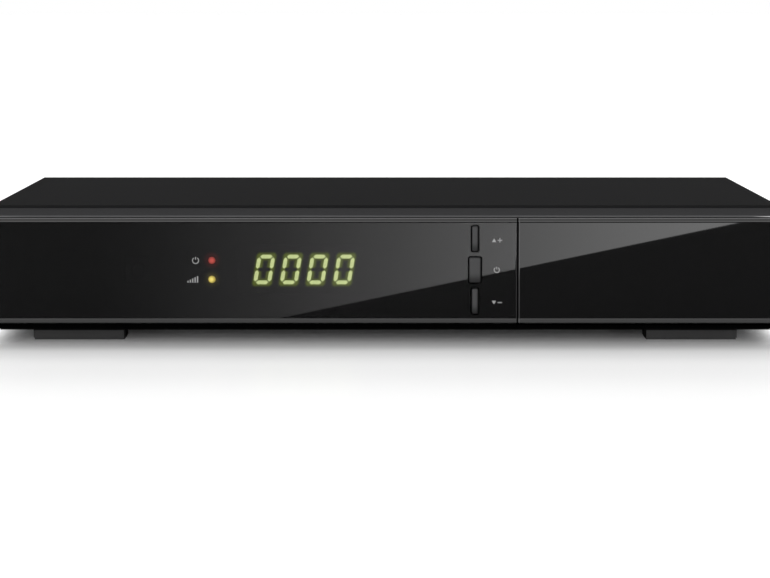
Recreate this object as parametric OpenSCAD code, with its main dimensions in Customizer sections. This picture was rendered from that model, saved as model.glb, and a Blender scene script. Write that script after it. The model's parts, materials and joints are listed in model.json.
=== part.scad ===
// Satellite television receiver: a low set-top box on four feet, with a
// moulded front, a folded steel chassis and cover, and its boards inside.
// Millimetres. X runs to the right of someone who faces the front, Y to the
// back and Z up. The origin is on the floor, under the middle of the box.

/* [Housing] */
// Width across the front and the cover
body_w = 261.4; // [256:0.2:320]
// Depth from the front face to the outside of the rear wall
body_d = 184; // [180:1:240]
// Height from the underside to the top of the cover, without the feet
body_h = 39.8; // [38.8:0.1:46]
// Thickness of the sheet steel
sheet_t = 0.7; // [0.5:0.05:0.9]
// Gap between parts that only pass each other
gap = 0.3; // [0.2:0.05:0.35]
// Outer radius of the cover's folded corners
cover_bend_r = 1; // [0.8:0.1:3]
// Height of the cover's lip over the rear wall
cover_lip_h = 5.6; // [5.2:0.1:6]
// Height of the chassis walls along the sides
flange_h = 12; // [9:0.5:16]
// Height of the chassis lip behind the moulded front
front_lip_h = 5.5; // [4:0.5:6]

/* [Feet] */
// Height of a foot, from the floor to the housing
foot_h = 4; // [3:0.1:9]
// Length of a foot along the width of the box
foot_l = 30.2; // [26:0.2:36]
// Width of a foot along the depth of the box
foot_w = 14; // [12:0.5:16]
// Radius of a foot's upright corners
foot_corner_r = 0.6; // [0.5:0.1:3]
// Distance from the side of the box to a foot
foot_inset = 14.9; // [12:0.1:18]
// Radius of the pegs that hold a foot
peg_r = 2; // [1.6:0.1:2.2]

/* [Front frame] */
// Depth of the moulded front, up to the edge of the cover
front_d = 14; // [13.5:0.5:16]
// Wall of the moulded front
wall_t = 2; // [1.6:0.1:2.2]
// Fall of the frame's sloping top, from the cover to its front edge
top_fall = 1.55; // [1:0.05:1.7]
// Fall from the top of the cover down to the frame behind its edge
top_step = 0.9; // [0.7:0.05:1]
// How far the frame's upper edge stands back from the face of the panel
frame_setback = 1.1; // [0.8:0.1:1.3]
// Width of the frame's end walls
cheek_w = 2.2; // [2:0.1:3]
// Rounding of the frame's upper front edge
nose_r = 0.45; // [0.3:0.05:0.5]
// Radius of the frame's upright front corners
frame_corner_r = 1.6; // [0.8:0.1:2]

/* [Panel] */
// Distance from the top of the cover down to the panel's upper edge
panel_drop = 3.3; // [3.15:0.05:3.6]
// Distance from the underside up to the panel's lower edge
panel_rise = 2; // [1.7:0.05:2]
// Gap between the panel's upper edge and the frame
panel_gap = 0.2; // [0.15:0.05:0.3]
// Height of the bevel along the panel's upper edge
bevel_top_h = 1.4; // [0.8:0.1:1.8]
// Height of the bevel along the panel's lower edge
bevel_bottom_h = 1.7; // [1.3:0.1:2]
// Depth of both bevels
bevel_d = 0.8; // [0.6:0.05:0.9]
// Thickness of the fixed panel
lens_t = 3; // [2.7:0.1:3.2]
// Small bevel down the panel's upright edges at the seam
seam_bevel = 0.3; // [0.1:0.05:0.4]
// Bevel down the panel's outer ends
end_bevel = 0.5; // [0.3:0.05:0.8]
// Width of the seam between the fixed panel and the flap
seam_w = 0.5; // [0.4:0.05:0.8]
// Distance from the right side of the box to the seam
seam_inset = 87.5; // [86:0.1:88]

/* [Flap] */
// Thickness of the flap's glossy skin
skin_t = 1.2; // [1.1:0.05:1.3]
// Thickness of the moulded carrier behind the skin
carrier_t = 2.2; // [2:0.1:2.4]
// Thickness of the carrier's plate between its ribs
carrier_plate_t = 1; // [0.8:0.1:1.4]
// Radius of the hinge pins
pin_r = 0.8; // [0.7:0.05:0.9]
// Running clearance round the hinge pins
pin_play = 0.06; // [0.03:0.01:0.1]
// Length of a hinge pin inside its bearing
pin_l = 1.3; // [1:0.1:1.5]
// Plastic between a hinge pin's bore and the front of its bearing
bearing_wall = 0.44; // [0.4:0.02:0.5]
// Height of the hinge line above the flap's lower edge
hinge_rise = 3.4; // [3.2:0.1:3.6]
// Depth of the bay behind the flap, from the face of the panel
bay_d = 9; // [8.8:0.1:9.4]

/* [Display and lamps] */
// Height of a digit
digit_h = 9.7; // [8:0.1:11]
// Width of a digit, without its slant
digit_w = 5.8; // [5:0.1:6.2]
// Distance between digits
digit_pitch = 8.7; // [8.2:0.1:9.2]
// Slant of the digits, in degrees
digit_slant = 9.5; // [0:0.5:12]
// Width of one light bar of a digit
bar_t = 1.25; // [0.8:0.05:1.3]
// Distance from the keys to the middle of the display
display_to_keys = 55.8; // [55:0.1:60]
// Height of the middle of the display above the floor of the housing
display_rise = 19.6; // [18.5:0.1:20]
// Depth of the display's housing
display_d = 7.5; // [7.2:0.1:7.8]
// Distance from the lamps to the middle of the display
lamps_to_display = 30.1; // [28:0.1:34]
// Distance between the two lamps
lamp_pitch = 6.2; // [5.5:0.1:9]
// Radius of a lamp
lamp_r = 1.15; // [0.9:0.05:1.5]

/* [Keys] */
// Distance from the keys to the seam
keys_to_seam = 13.9; // [12:0.1:15]
// Distance between the keys
key_pitch = 10.2; // [10:0.05:10.4]
// Height of a key cap
key_h = 8.1; // [7:0.1:8.4]
// Width of the upper and lower key caps
key_w = 2; // [1.8:0.1:3]
// Width of the middle key cap
power_key_w = 3.8; // [3:0.1:5]
// How far a key cap stands out of the panel
key_proud = 0.7; // [0.5:0.1:1]
// Travel of a key
key_travel = 0.5; // [0.3:0.05:0.6]
// Rounding of the key caps' corners
key_corner_r = 0.5; // [0.3:0.05:0.8]

/* [Boards] */
// Thickness of the printed boards
board_t = 1.6; // [1.2:0.1:2]
// Height of the pressed stand-offs under the boards
standoff_h = 5; // [4.5:0.5:5.5]
// Radius of a stand-off
standoff_r = 3; // [2.8:0.1:3.4]
// Radius of the board screws' shanks
screw_r = 1.3; // [1.1:0.05:1.4]
// Width of the power supply board
supply_w = 46; // [44:1:58]
// Depth of the power supply board
supply_d = 112; // [104:1:118]
// Room between the rear wall and the power supply board
supply_setback = 30; // [28:1:36]
// Distance from the sides of the chassis to the boards
board_side_gap = 2.5; // [1.5:0.5:3]

/* [Connectors] */
// Radius of the aerial connectors over their thread
coax_r = 4.76; // [4.7:0.01:4.8]
// Length of the aerial connectors outside the rear wall
coax_reach = 11; // [10:0.5:14]
// Distance between the aerial connectors
coax_pitch = 17; // [16:0.5:18]
// Radius of the phono sockets' sleeves
phono_r = 4.15; // [4.1:0.05:4.2]
// Length of the phono sockets outside the rear wall
phono_reach = 8.5; // [7:0.5:9.5]
// Distance between the phono sockets
phono_pitch = 12.6; // [12.2:0.1:13]
// Gap between the sockets along the rear edge
socket_gap = 4.8; // [4.5:0.1:6]
// Width of the card slot
card_slot_w = 56; // [55:0.5:57]
// Height of the card slot
card_slot_h = 2.2; // [1.6:0.1:2.6]
// Angle that the mains rocker turns through
rocker_swing = 18; // [10:1:20]
// Radius of the mains rocker's pivots
rocker_pin_r = 1.2; // [1:0.05:1.4]

/* [Vents] */
// Width of a vent slot
vent_w = 2.2; // [1.6:0.1:2.8]
// Length of a vent slot
vent_l = 10; // [7:0.5:11]
// Distance between vent slots
vent_pitch = 5; // [4:0.5:7]
// Length of a group of vent slots
vent_span = 70; // [40:5:80]

/* [Hidden] */
$fn = 48;
eps = 0.01;

// Main planes of the box
half_w = body_w / 2;
face_y = key_proud - (key_proud + body_d + coax_reach) / 2;
edge_y = face_y + front_d;
wall_y = face_y + body_d;
base_z = foot_h;
roof_z = foot_h + body_h;
inner_w = half_w - 2 * sheet_t;
deck_z = base_z + sheet_t;

// Places across the front, each from the one to its right
seam_x = half_w - seam_inset;
key_x = seam_x - keys_to_seam;
display_x = key_x - display_to_keys;
lamp_x = display_x - lamps_to_display;
remote_x = lamp_x - 24;

// Panel and frame
panel_bottom = base_z + panel_rise;
panel_top = roof_z - panel_drop;
lip_z = panel_top + panel_gap;
lens_back = face_y + lens_t;
bulk_back = lens_back + wall_t;
frame_top = roof_z - top_step;
tongue_l = 5;
tongue_t = 1.2;
lens_x0 = -half_w + cheek_w + panel_gap;
lens_x1 = seam_x - seam_w / 2;
flap_x0 = seam_x + seam_w / 2;
flap_x1 = half_w - cheek_w - panel_gap;
bay_y = face_y + bay_d;
bay_back = bay_y + wall_t;
bay_x0 = flap_x0 + cheek_w;
bay_x1 = half_w - cheek_w;

// Hinge of the flap
bearing_r = pin_r + pin_play + bearing_wall;
hinge_y = face_y + skin_t + gap + bearing_r;
hinge_z = panel_bottom + hinge_rise;
knuckle_r = pin_r + 0.5;
carrier_back = face_y + skin_t + carrier_t;
corner_front = norm([hinge_y - face_y - bevel_d, hinge_rise]);
corner_back = norm([hinge_y - carrier_back, hinge_rise]);
flap_sweep = max(corner_front, corner_back);
floor_z = hinge_z - flap_sweep - gap;
stop_y = carrier_back + gap;
stop_h = 1.6;
stop_t = 1.6;

// Front board and what stands on it
front_board_y = lens_back + display_d;
front_board_back = front_board_y + board_t;
front_board_x0 = remote_x - 14.4;
front_board_x1 = key_x + 10.5;
front_board_z0 = base_z + 3.6;
front_board_z1 = roof_z - 5.6;
boss_xs = [front_board_x0 + 5, key_x - 17];
boss_zs = [front_board_z0 + 4, front_board_z1 - 4];
boss_r = 2.6;
display_z = base_z + display_rise;
display_w = 3 * digit_pitch + digit_w + 12;
display_h = digit_h + 6;
lamp_z = display_z;
key_z = display_z;

// Boards on the chassis
board_z = deck_z + standoff_h;
board_top = board_z + board_t;
main_x1 = inner_w - board_side_gap;
main_y0 = edge_y + sheet_t + 1;
main_y1 = wall_y - sheet_t - 0.6;
supply_x0 = -inner_w + board_side_gap;
supply_x1 = supply_x0 + supply_w;
supply_y1 = wall_y - supply_setback;
supply_y0 = supply_y1 - supply_d;
screw_margin = 5;

// Rear connectors in a row, from the right end of the main board to its left
tuner_w = 42;
tuner_d = 46;
tuner_h = 14;
tuner_x = main_x1 - tuner_w / 2 - 1.5;
coax_z = board_top + tuner_h / 2;
phono_half = phono_pitch * 1.5 - 0.6;
phono_x = tuner_x - tuner_w / 2 - socket_gap - phono_half;
phono_z = board_top + 8.5;
phono_bore = 1.65;
scart_w = 47;
scart_h = 15;
scart_x = phono_x - phono_half - socket_gap - scart_w / 2;
scart_z = board_top + 2 + scart_h / 2;
serial_w = 31;
serial_h = 12.5;
serial_x = scart_x - scart_w / 2 - socket_gap - serial_w / 2;
serial_z = board_top + 6.5;
main_x0 = serial_x - serial_w / 2 - socket_gap - 1.7;

// Front sockets behind the flap, from the right end of the main board
usb_w = 13.1;
usb_h = 5.7;
usb_l = 16;
usb_x = main_x1 - usb_w / 2 - 2;
usb_z = board_top + usb_h / 2;
reader_w = card_slot_w + 4;
reader_d = 56;
reader_h = 6.4;
card_x = usb_x - usb_w / 2 - reader_w / 2 - 2.5;
card_z = board_top + reader_h / 2 + 0.4;

// Mains inlet and switch in a row, from the left end of the supply board
inlet_w = 25;
inlet_h = 17;
inlet_body_w = 20;
inlet_body_h = 13;
switch_w = 13;
switch_h = 19;
bezel_lip = 1.2;
inlet_x = supply_x0 + inlet_w / 2 + 3;
inlet_z = deck_z + 19;
switch_x = inlet_x + inlet_w / 2 + socket_gap + bezel_lip + switch_w / 2;
switch_z = inlet_z;
rocker_w = 9.6;
rocker_h = 14.4;
rocker_pivot_y = wall_y - 1;
cover_screw_xs = [-half_w + 22, 0, half_w - 22];
cover_screw_z = roof_z - cover_lip_h / 2;

// ---- Shapes that repeat ----

// Extrudes a profile drawn in Y and Z along X
module along_x(x0, x1) {
  translate([x0, 0, 0]) rotate([90, 0, 90]) linear_extrude(x1 - x0) children();
}

// Extrudes a profile drawn in X and Z along Y
module along_y(y0, y1) {
  translate([0, y1, 0]) rotate([90, 0, 0]) linear_extrude(y1 - y0) children();
}

// Extrudes a profile drawn in X and Y upwards
module along_z(z0, z1) {
  translate([0, 0, z0]) linear_extrude(z1 - z0) children();
}

// Box between two corners
module block(low, high) {
  translate(low) cube(high - low);
}

// Flat rectangle with round corners, centred
module round_rect(w, h, r) {
  square([w, h - 2 * r], center = true);
  square([w - 2 * r, h], center = true);
  for (sx = [-1, 1], sy = [-1, 1])
    translate([sx * (w / 2 - r), sy * (h / 2 - r)]) circle(r);
}

// Flat slot with round ends, upright and centred
module slot_shape(w, h) {
  square([w, h - w], center = true);
  for (s = [-1, 1]) translate([0, s * (h - w) / 2]) circle(w / 2);
}

// Round rod along Y
module rod_y(x, z, r, y0, y1) {
  translate([x, y1, z]) rotate([90, 0, 0]) cylinder(r = r, h = y1 - y0);
}

// Round rod along X
module rod_x(y, z, r, x0, x1) {
  translate([x0, y, z]) rotate([0, 90, 0]) cylinder(r = r, h = x1 - x0);
}

// Upright round rod
module rod_z(x, y, r, z0, z1) {
  translate([x, y, z0]) cylinder(r = r, h = z1 - z0);
}

// Pan-head screw along -Z with its head resting on the origin plane
module screw(shank_r, shank_l, head_r, head_h) {
  difference() {
    union() {
      translate([0, 0, -shank_l]) cylinder(r = shank_r, h = shank_l + eps);
      cylinder(r = head_r, h = head_h * 0.55);
      translate([0, 0, head_h * 0.55]) cylinder(r1 = head_r, r2 = head_r * 0.72, h = head_h * 0.45);
    }
    for (a = [0, 90])
      rotate([0, 0, a]) translate([0, 0, head_h])
        cube([head_r * 1.1, head_r * 0.24, head_h * 1.1], center = true);
  }
}

// ---- Housing ----

module cover_outline(inset) {
  r = cover_bend_r - inset;
  w = half_w - inset;
  top = roof_z - inset;
  translate([-w, base_z]) square([2 * w, top - base_z - r]);
  translate([-w + r, base_z]) square([2 * (w - r), top - base_z]);
  for (s = [-1, 1]) translate([s * (w - r), top - r]) circle(r);
}

module top_cover() color([0.15, 0.15, 0.16]) {
  vents = floor(vent_span / vent_pitch);
  vent_z = (base_z + roof_z) / 2 + 2;
  difference() {
    union() {
      along_y(edge_y, wall_y + sheet_t) difference() {
        cover_outline(0);
        cover_outline(sheet_t);
        translate([-half_w + sheet_t, base_z - eps]) square([2 * (half_w - sheet_t), 1]);
      }
      // Lip folded down over the rear wall
      along_y(wall_y, wall_y + sheet_t) intersection() {
        cover_outline(0);
        translate([-half_w, roof_z - cover_lip_h]) square([body_w, cover_lip_h]);
      }
    }
    // Vents in both sides
    for (i = [0 : vents])
      along_x(-half_w - 1, half_w + 1)
        translate([wall_y - 14 - i * vent_pitch, vent_z]) slot_shape(vent_w, vent_l);
    for (x = cover_screw_xs)
      rod_y(x, cover_screw_z, screw_r + 0.25, wall_y - eps, wall_y + sheet_t + eps);
  }
}

// Cut-outs in the rear wall, drawn in X and Z
module rear_cutouts() {
  for (s = [-1, 1]) translate([tuner_x + s * coax_pitch / 2, coax_z]) circle(coax_r + coax_neck + gap);
  for (i = [-1, 0, 1]) translate([phono_x + i * phono_pitch, phono_z]) circle(phono_r + 1.35);
  translate([scart_x, scart_z]) square([scart_w + 1, scart_h + 1], center = true);
  translate([serial_x, serial_z]) square([2 * serial_top_half + 2.6, 2 * serial_half_h + 1.4], center = true);
  for (s = [-1, 1]) translate([serial_x + s * post_x, serial_z]) circle(post_shank_r + 0.35);
  translate([inlet_x, inlet_z]) square([inlet_body_w + 2 * gap, inlet_body_h + 2 * gap], center = true);
  translate([switch_x, switch_z]) square([switch_w + 0.6, switch_h + 0.6], center = true);
  for (x = cover_screw_xs) translate([x, cover_screw_z]) circle(screw_r);
  // Vents between the mains switch and the serial socket
  vents_x0 = switch_x + switch_w / 2 + 7;
  vents = floor((serial_x - serial_w / 2 - 3 - vents_x0) / vent_pitch);
  for (i = [0 : vents]) translate([vents_x0 + i * vent_pitch, switch_z]) slot_shape(vent_w, vent_l);
}

module standoffs(xs, ys) {
  for (x = xs, y = ys) rod_z(x, y, standoff_r, deck_z - eps, board_z);
}

module standoff_bores(xs, ys) {
  for (x = xs, y = ys) rod_z(x, y, screw_r, base_z - eps, board_z + eps);
}

main_screw_xs = [main_x0 + screw_margin, (main_x0 + main_x1) / 2 + 20, main_x1 - screw_margin];
main_screw_ys = [main_y0 + 72, main_y1 - tuner_d - 6];
main_front_xs = [main_x0 + screw_margin, card_x - reader_w / 2 - 9.4];
supply_screw_xs = [supply_x0 + screw_margin, supply_x1 - screw_margin];
supply_screw_ys = [supply_y0 + screw_margin, supply_y1 - screw_margin];

low_vent_in_x = 40;
low_vent_y = 18;

module chassis_pan() color([0.72, 0.73, 0.74]) {
  low_slots = floor(vent_span / vent_pitch);
  difference() {
    union() {
      block([-inner_w - sheet_t, edge_y, base_z], [inner_w + sheet_t, wall_y, deck_z]);
      for (s = [-1, 1])
        translate([s * (inner_w + sheet_t / 2), (edge_y + wall_y) / 2, base_z + flange_h / 2])
          cube([sheet_t, wall_y - edge_y, flange_h], center = true);
      block([-inner_w, edge_y, base_z], [inner_w, edge_y + sheet_t, base_z + front_lip_h]);
      along_y(wall_y - sheet_t, wall_y) cover_outline(sheet_t);
      standoffs(main_screw_xs, main_screw_ys);
      standoffs(main_front_xs, [main_y0 + screw_margin]);
      standoffs(supply_screw_xs, supply_screw_ys);
    }
    along_y(wall_y - sheet_t - eps, wall_y + eps) rear_cutouts();
    standoff_bores(main_screw_xs, main_screw_ys);
    standoff_bores(main_front_xs, [main_y0 + screw_margin]);
    standoff_bores(supply_screw_xs, supply_screw_ys);
    // Vents under the two boards
    for (i = [0 : low_slots], x = [supply_x0 + supply_w / 2, main_x0 + low_vent_in_x])
      translate([x - vent_span / 4 + i * vent_pitch / 2, 0, 0])
        along_z(base_z - eps, deck_z + eps)
          translate([0, i % 2 == 0 ? -low_vent_y : low_vent_y]) slot_shape(vent_w, 2 * vent_l);
    for (p = foot_places, s = [-1, 1])
      rod_z(p[0] + s * peg_pitch / 2, p[1] + peg_back, peg_r + 0.15, base_z - eps, deck_z + eps);
    for (x = hook_xs)
      block([x - hook_w / 2 - gap, edge_y - eps, deck_z],
            [x + hook_w / 2 + gap, edge_y + sheet_t + eps, deck_z + hook_t + gap]);
    for (x = hook_xs)
      block([x - hook_w / 2 - gap, hook_y - gap, base_z - eps],
            [x + hook_w / 2 + gap, hook_y + hook_nub + gap, deck_z + eps]);
  }
}

// ---- Feet ----

peg_pitch = 18;
peg_back = foot_w / 2 - 3.6;
foot_x = half_w - foot_inset - foot_l / 2;
foot_front_y = edge_y + sheet_t + peg_r + 1.2 - peg_back;
foot_rear_y = wall_y - 7 - foot_w / 2;
foot_places = [[-foot_x, foot_front_y], [foot_x, foot_front_y], [-foot_x, foot_rear_y], [foot_x, foot_rear_y]];

// Moulded foot with a hollow sole and two snap pegs
module foot(i) {
  sole = 0.6;
  translate([foot_places[i][0], foot_places[i][1], 0]) {
    difference() {
      union() {
        along_z(sole, foot_h) round_rect(foot_l, foot_w, foot_corner_r);
        along_z(0, sole + eps) round_rect(foot_l - sole, foot_w - sole, foot_corner_r - sole / 2);
      }
      along_z(-eps, 1.2) round_rect(foot_l - 7, foot_w - 6, 1.5);
    }
    for (s = [-1, 1]) {
      rod_z(s * peg_pitch / 2, peg_back, peg_r, foot_h - eps, deck_z + 0.1);
      rod_z(s * peg_pitch / 2, peg_back, peg_r + 0.5, deck_z, deck_z + 1);
    }
  }
}

module foot_front_left() color([0.12, 0.12, 0.12]) foot(0);
module foot_front_right() color([0.12, 0.12, 0.12]) foot(1);
module foot_rear_left() color([0.12, 0.12, 0.12]) foot(2);
module foot_rear_right() color([0.12, 0.12, 0.12]) foot(3);

module cover_screws() color([0.2, 0.2, 0.2]) {
  for (x = cover_screw_xs)
    translate([x, wall_y + sheet_t, cover_screw_z]) rotate([-90, 0, 0])
      screw(screw_r - 0.05, 6, 2.6, 1.5);
}

// ---- Moulded front ----

hook_xs = [-half_w + 60, -28, 28, half_w - 60];
hook_w = 8;
hook_t = 1.2;
hook_nub = 1.2;
hook_y = edge_y + sheet_t + 3;
frame_y = face_y + frame_setback;
tongue_x = inner_w - cover_bend_r;

// Section of the frame's top bar, with its rounded nose
module top_bar_section() {
  nose_z = frame_top - top_fall;
  polygon([
    [frame_y, lip_z], [frame_y, nose_z - nose_r], [frame_y + nose_r, nose_z],
    [edge_y, frame_top], [edge_y, frame_top - tongue_t - 0.6], [edge_y - 3, lip_z]
  ]);
  translate([frame_y + nose_r, nose_z - nose_r]) circle(nose_r);
}

// Outline of the frame from above, round at its two front corners
module frame_plan() {
  w = half_w - frame_corner_r;
  back = hook_y + hook_nub + 1;
  translate([-half_w, frame_y + frame_corner_r]) square([body_w, back - frame_y - frame_corner_r]);
  translate([-w, frame_y]) square([2 * w, back - frame_y]);
  for (s = [-1, 1]) translate([s * w, frame_y + frame_corner_r]) circle(frame_corner_r);
}

// Room for the flap's lower edge, which swings back under the hinge line
module flap_sweep_room() {
  difference() {
    rod_x(hinge_y, hinge_z, flap_sweep + gap, lens_x1, bay_x0 + eps);
    rod_x(hinge_y, hinge_z, bearing_r, lens_x1 - 1, bay_x0 + 1);
    block([lens_x1 - 1, face_y - 5, hinge_z], [bay_x0 + 1, edge_y, roof_z]);
  }
}

module key_window() {
  translate([key_x, key_z])
    square([power_key_w + 2 * flange_side + 2 * gap, 2 * key_pitch + key_h + 2 * flange_end + 2 * gap],
           center = true);
}

module frame_walls() {
  wall_h = lip_z + eps - base_z;
  behind_skin = face_y + skin_t + gap;
  along_x(-half_w, half_w) top_bar_section();
  // Tongue under the front edge of the cover
  block([-tongue_x, edge_y - eps, frame_top - tongue_t], [tongue_x, edge_y + tongue_l, frame_top]);
  block([-half_w, lens_back, base_z], [half_w, edge_y, floor_z]);
  for (s = [-1, 1])
    translate([s * (half_w - cheek_w / 2), (frame_y + edge_y) / 2, base_z + wall_h / 2])
      cube([cheek_w, edge_y - frame_y, wall_h], center = true);
  // Wall between the fixed panel and the bay
  block([flap_x0, behind_skin, base_z], [bay_x0, edge_y, lip_z + eps]);
  // Bulkhead behind the fixed panel
  block([-half_w, lens_back, base_z], [flap_x0 + eps, bulk_back, lip_z + eps]);
  // Back wall of the bay and the stop over its mouth
  block([flap_x0, bay_y, base_z], [half_w, bay_back, lip_z + eps]);
  block([flap_x0, stop_y, lip_z - stop_h], [half_w, stop_y + stop_t, lip_z + eps]);
  // Bosses for the front board
  for (x = boss_xs, z = boss_zs) rod_y(x, z, boss_r, bulk_back - eps, front_board_y);
  // Hooks that hold the frame to the chassis
  for (x = hook_xs) {
    block([x - hook_w / 2, edge_y - 3, deck_z], [x + hook_w / 2, hook_y + hook_nub, deck_z + hook_t]);
    block([x - hook_w / 2, hook_y, base_z], [x + hook_w / 2, hook_y + hook_nub, deck_z + eps]);
  }
}

module front_frame() color([0.2, 0.2, 0.21]) {
  difference() {
    intersection() {
      frame_walls();
      along_z(base_z - 1, roof_z) frame_plan();
    }
    // Windows for the display, the lamps, the remote receiver and the keys
    along_y(lens_back - eps, bulk_back + eps) {
      translate([display_x, display_z]) square([display_w + 2 * gap, display_h + 2 * gap], center = true);
      translate([remote_x, display_z]) square([8 + 2 * gap, 8 + 2 * gap], center = true);
      for (s = [-1, 1]) translate([lamp_x, lamp_z + s * lamp_pitch / 2]) circle(lamp_r + 0.55);
      key_window();
    }
    for (x = boss_xs, z = boss_zs) rod_y(x, z, 0.9, bulk_back + 0.5, front_board_y + eps);
    along_y(bay_y - eps, bay_back + eps) {
      translate([card_x, card_z]) square([card_slot_w, card_slot_h], center = true);
      translate([usb_x, usb_z]) square([usb_w + 2 * gap, usb_h + 2 * gap], center = true);
    }
    flap_sweep_room();
    // Bearings of the flap
    rod_x(hinge_y, hinge_z, pin_r + pin_play, bay_x0 - pin_l - gap, bay_x1 + pin_l + gap);
  }
}

// Section of the panel, from its face back to a given thickness
module panel_section(t) {
  polygon([
    [face_y, panel_bottom + bevel_bottom_h], [face_y, panel_top - bevel_top_h],
    [face_y + bevel_d, panel_top], [face_y + t, panel_top],
    [face_y + t, panel_bottom], [face_y + bevel_d, panel_bottom]
  ]);
}

// Panel between two places along X, with its upright front edges bevelled
module panel(x0, x1, t, bevel0, bevel1) {
  difference() {
    along_x(x0, x1) panel_section(t);
    along_z(panel_bottom - 1, panel_top + 1) {
      polygon([[x0 - 1, face_y - 1], [x0 + bevel0 + 1, face_y - 1], [x0 - 1, face_y + bevel0 + 1]]);
      polygon([[x1 + 1, face_y - 1], [x1 - bevel1 - 1, face_y - 1], [x1 + 1, face_y + bevel1 + 1]]);
    }
  }
}

module front_lens() color([0.08, 0.08, 0.09]) {
  difference() {
    panel(lens_x0, lens_x1, lens_t, end_bevel, seam_bevel);
    along_y(face_y - eps, lens_back + eps) {
      for (i = [-1, 0, 1])
        translate([key_x, key_z + i * key_pitch])
          round_rect(key_width(i) + 2 * key_gap, key_h + 2 * key_gap, key_corner_r + key_gap);
      for (s = [-1, 1]) translate([lamp_x, lamp_z + s * lamp_pitch / 2]) circle(lamp_r + 0.08);
    }
  }
}

// ---- Flap ----

module flap_skin() color([0.08, 0.08, 0.09]) {
  panel(flap_x0, flap_x1, skin_t, seam_bevel, end_bevel);
}

carrier_x0 = bay_x0 + gap;
carrier_x1 = bay_x1 - gap;
rib_w = 1.2;
rib_count = 5;

module flap_carrier() color([0.18, 0.18, 0.19]) {
  skin_back = face_y + skin_t;
  top = panel_top - 0.4;
  rib_step = (carrier_x1 - carrier_x0 - rib_w) / rib_count;
  block([carrier_x0, skin_back, panel_bottom + 0.3], [carrier_x1, skin_back + carrier_plate_t, top]);
  // Rim and ribs
  for (z = [panel_bottom + 0.3, top - rib_w])
    block([carrier_x0, skin_back, z], [carrier_x1, carrier_back, z + rib_w]);
  for (i = [0 : rib_count])
    block([carrier_x0 + i * rib_step, skin_back, panel_bottom + 0.3],
          [carrier_x0 + i * rib_step + rib_w, carrier_back, top]);
  // Hinge pins and the round bar between them
  rod_x(hinge_y, hinge_z, pin_r, carrier_x0 - gap - pin_l, carrier_x1 + gap + pin_l);
  rod_x(hinge_y, hinge_z, knuckle_r, carrier_x0, carrier_x1);
}

// ---- Keys ----

key_gap = 0.4;
flange_side = 1.2;
flange_end = 0.6;
flange_t = 1;
flange_y = lens_back + 0.3;
stem_r = 0.9;
switch_h_deep = 3;
plunger_proud = key_travel + 0.3;
plunger_y = front_board_y - switch_h_deep - plunger_proud;

function key_width(i) = i == 0 ? power_key_w : key_w;

// Key cap with its flange and stem; i is -1, 0 or 1 from the bottom up
module key(i) {
  w = key_width(i);
  z = key_z + i * key_pitch;
  crown = 0.25;
  translate([key_x, 0, z]) {
    along_y(face_y - key_proud + crown, flange_y + eps) round_rect(w, key_h, key_corner_r);
    along_y(face_y - key_proud, face_y - key_proud + crown + eps)
      round_rect(w - 2 * crown, key_h - 2 * crown, key_corner_r - crown + 0.02);
    along_y(flange_y, flange_y + flange_t) square([w + 2 * flange_side, key_h + 2 * flange_end], center = true);
  }
  rod_y(key_x, z, stem_r, flange_y, plunger_y);
}

module key_channel_up() color([0.3, 0.3, 0.31]) key(1);
module key_power() color([0.3, 0.3, 0.31]) key(0);
module key_channel_down() color([0.3, 0.3, 0.31]) key(-1);

plunger_r = 1.6;

// Plunger of a key switch, with the collar that keeps it in its case
module plunger(i) {
  z = key_z + i * key_pitch;
  rod_y(key_x, z, plunger_r, plunger_y, plunger_y + plunger_proud + 1);
  rod_y(key_x, z, plunger_r + 0.4, plunger_y + plunger_proud + 0.7, plunger_y + plunger_proud + 1.3);
}

module switch_plunger_up() color([0.9, 0.85, 0.7]) plunger(1);
module switch_plunger_power() color([0.9, 0.85, 0.7]) plunger(0);
module switch_plunger_down() color([0.9, 0.85, 0.7]) plunger(-1);

module key_switches() color([0.1, 0.1, 0.1]) {
  y0 = front_board_y - switch_h_deep;
  for (i = [-1, 0, 1]) difference() {
    translate([key_x, 0, key_z + i * key_pitch]) along_y(y0, front_board_y) square([6, 6], center = true);
    rod_y(key_x, key_z + i * key_pitch, plunger_r + 0.1, y0 - eps, y0 + 0.6);
    rod_y(key_x, key_z + i * key_pitch, plunger_r + 0.5, y0 + 0.5, front_board_y - 0.4);
  }
}

// ---- Front board ----

module front_board() color([0.1, 0.35, 0.2]) {
  difference() {
    block([front_board_x0, front_board_y, front_board_z0], [front_board_x1, front_board_back, front_board_z1]);
    for (x = boss_xs, z = boss_zs) rod_y(x, z, 1.2, front_board_y - eps, front_board_back + eps);
  }
  // Plug for the ribbon, on the back
  block([ribbon_x - ribbon_w / 2 - 1.5, front_board_back - eps, ribbon_z],
        [ribbon_x + ribbon_w / 2 + 1.5, front_board_back + 1.2, ribbon_z + 4]);
}

module front_board_screws() color([0.75, 0.75, 0.76]) {
  for (x = boss_xs, z = boss_zs)
    translate([x, front_board_back, z]) rotate([-90, 0, 0]) screw(0.85, 5, 2.1, 1.2);
}

ribbon_w = 24;
ribbon_x = main_x0 + ribbon_w / 2 + 14.3;
ribbon_t = 0.4;
ribbon_z = base_z + 12.5;

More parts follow.
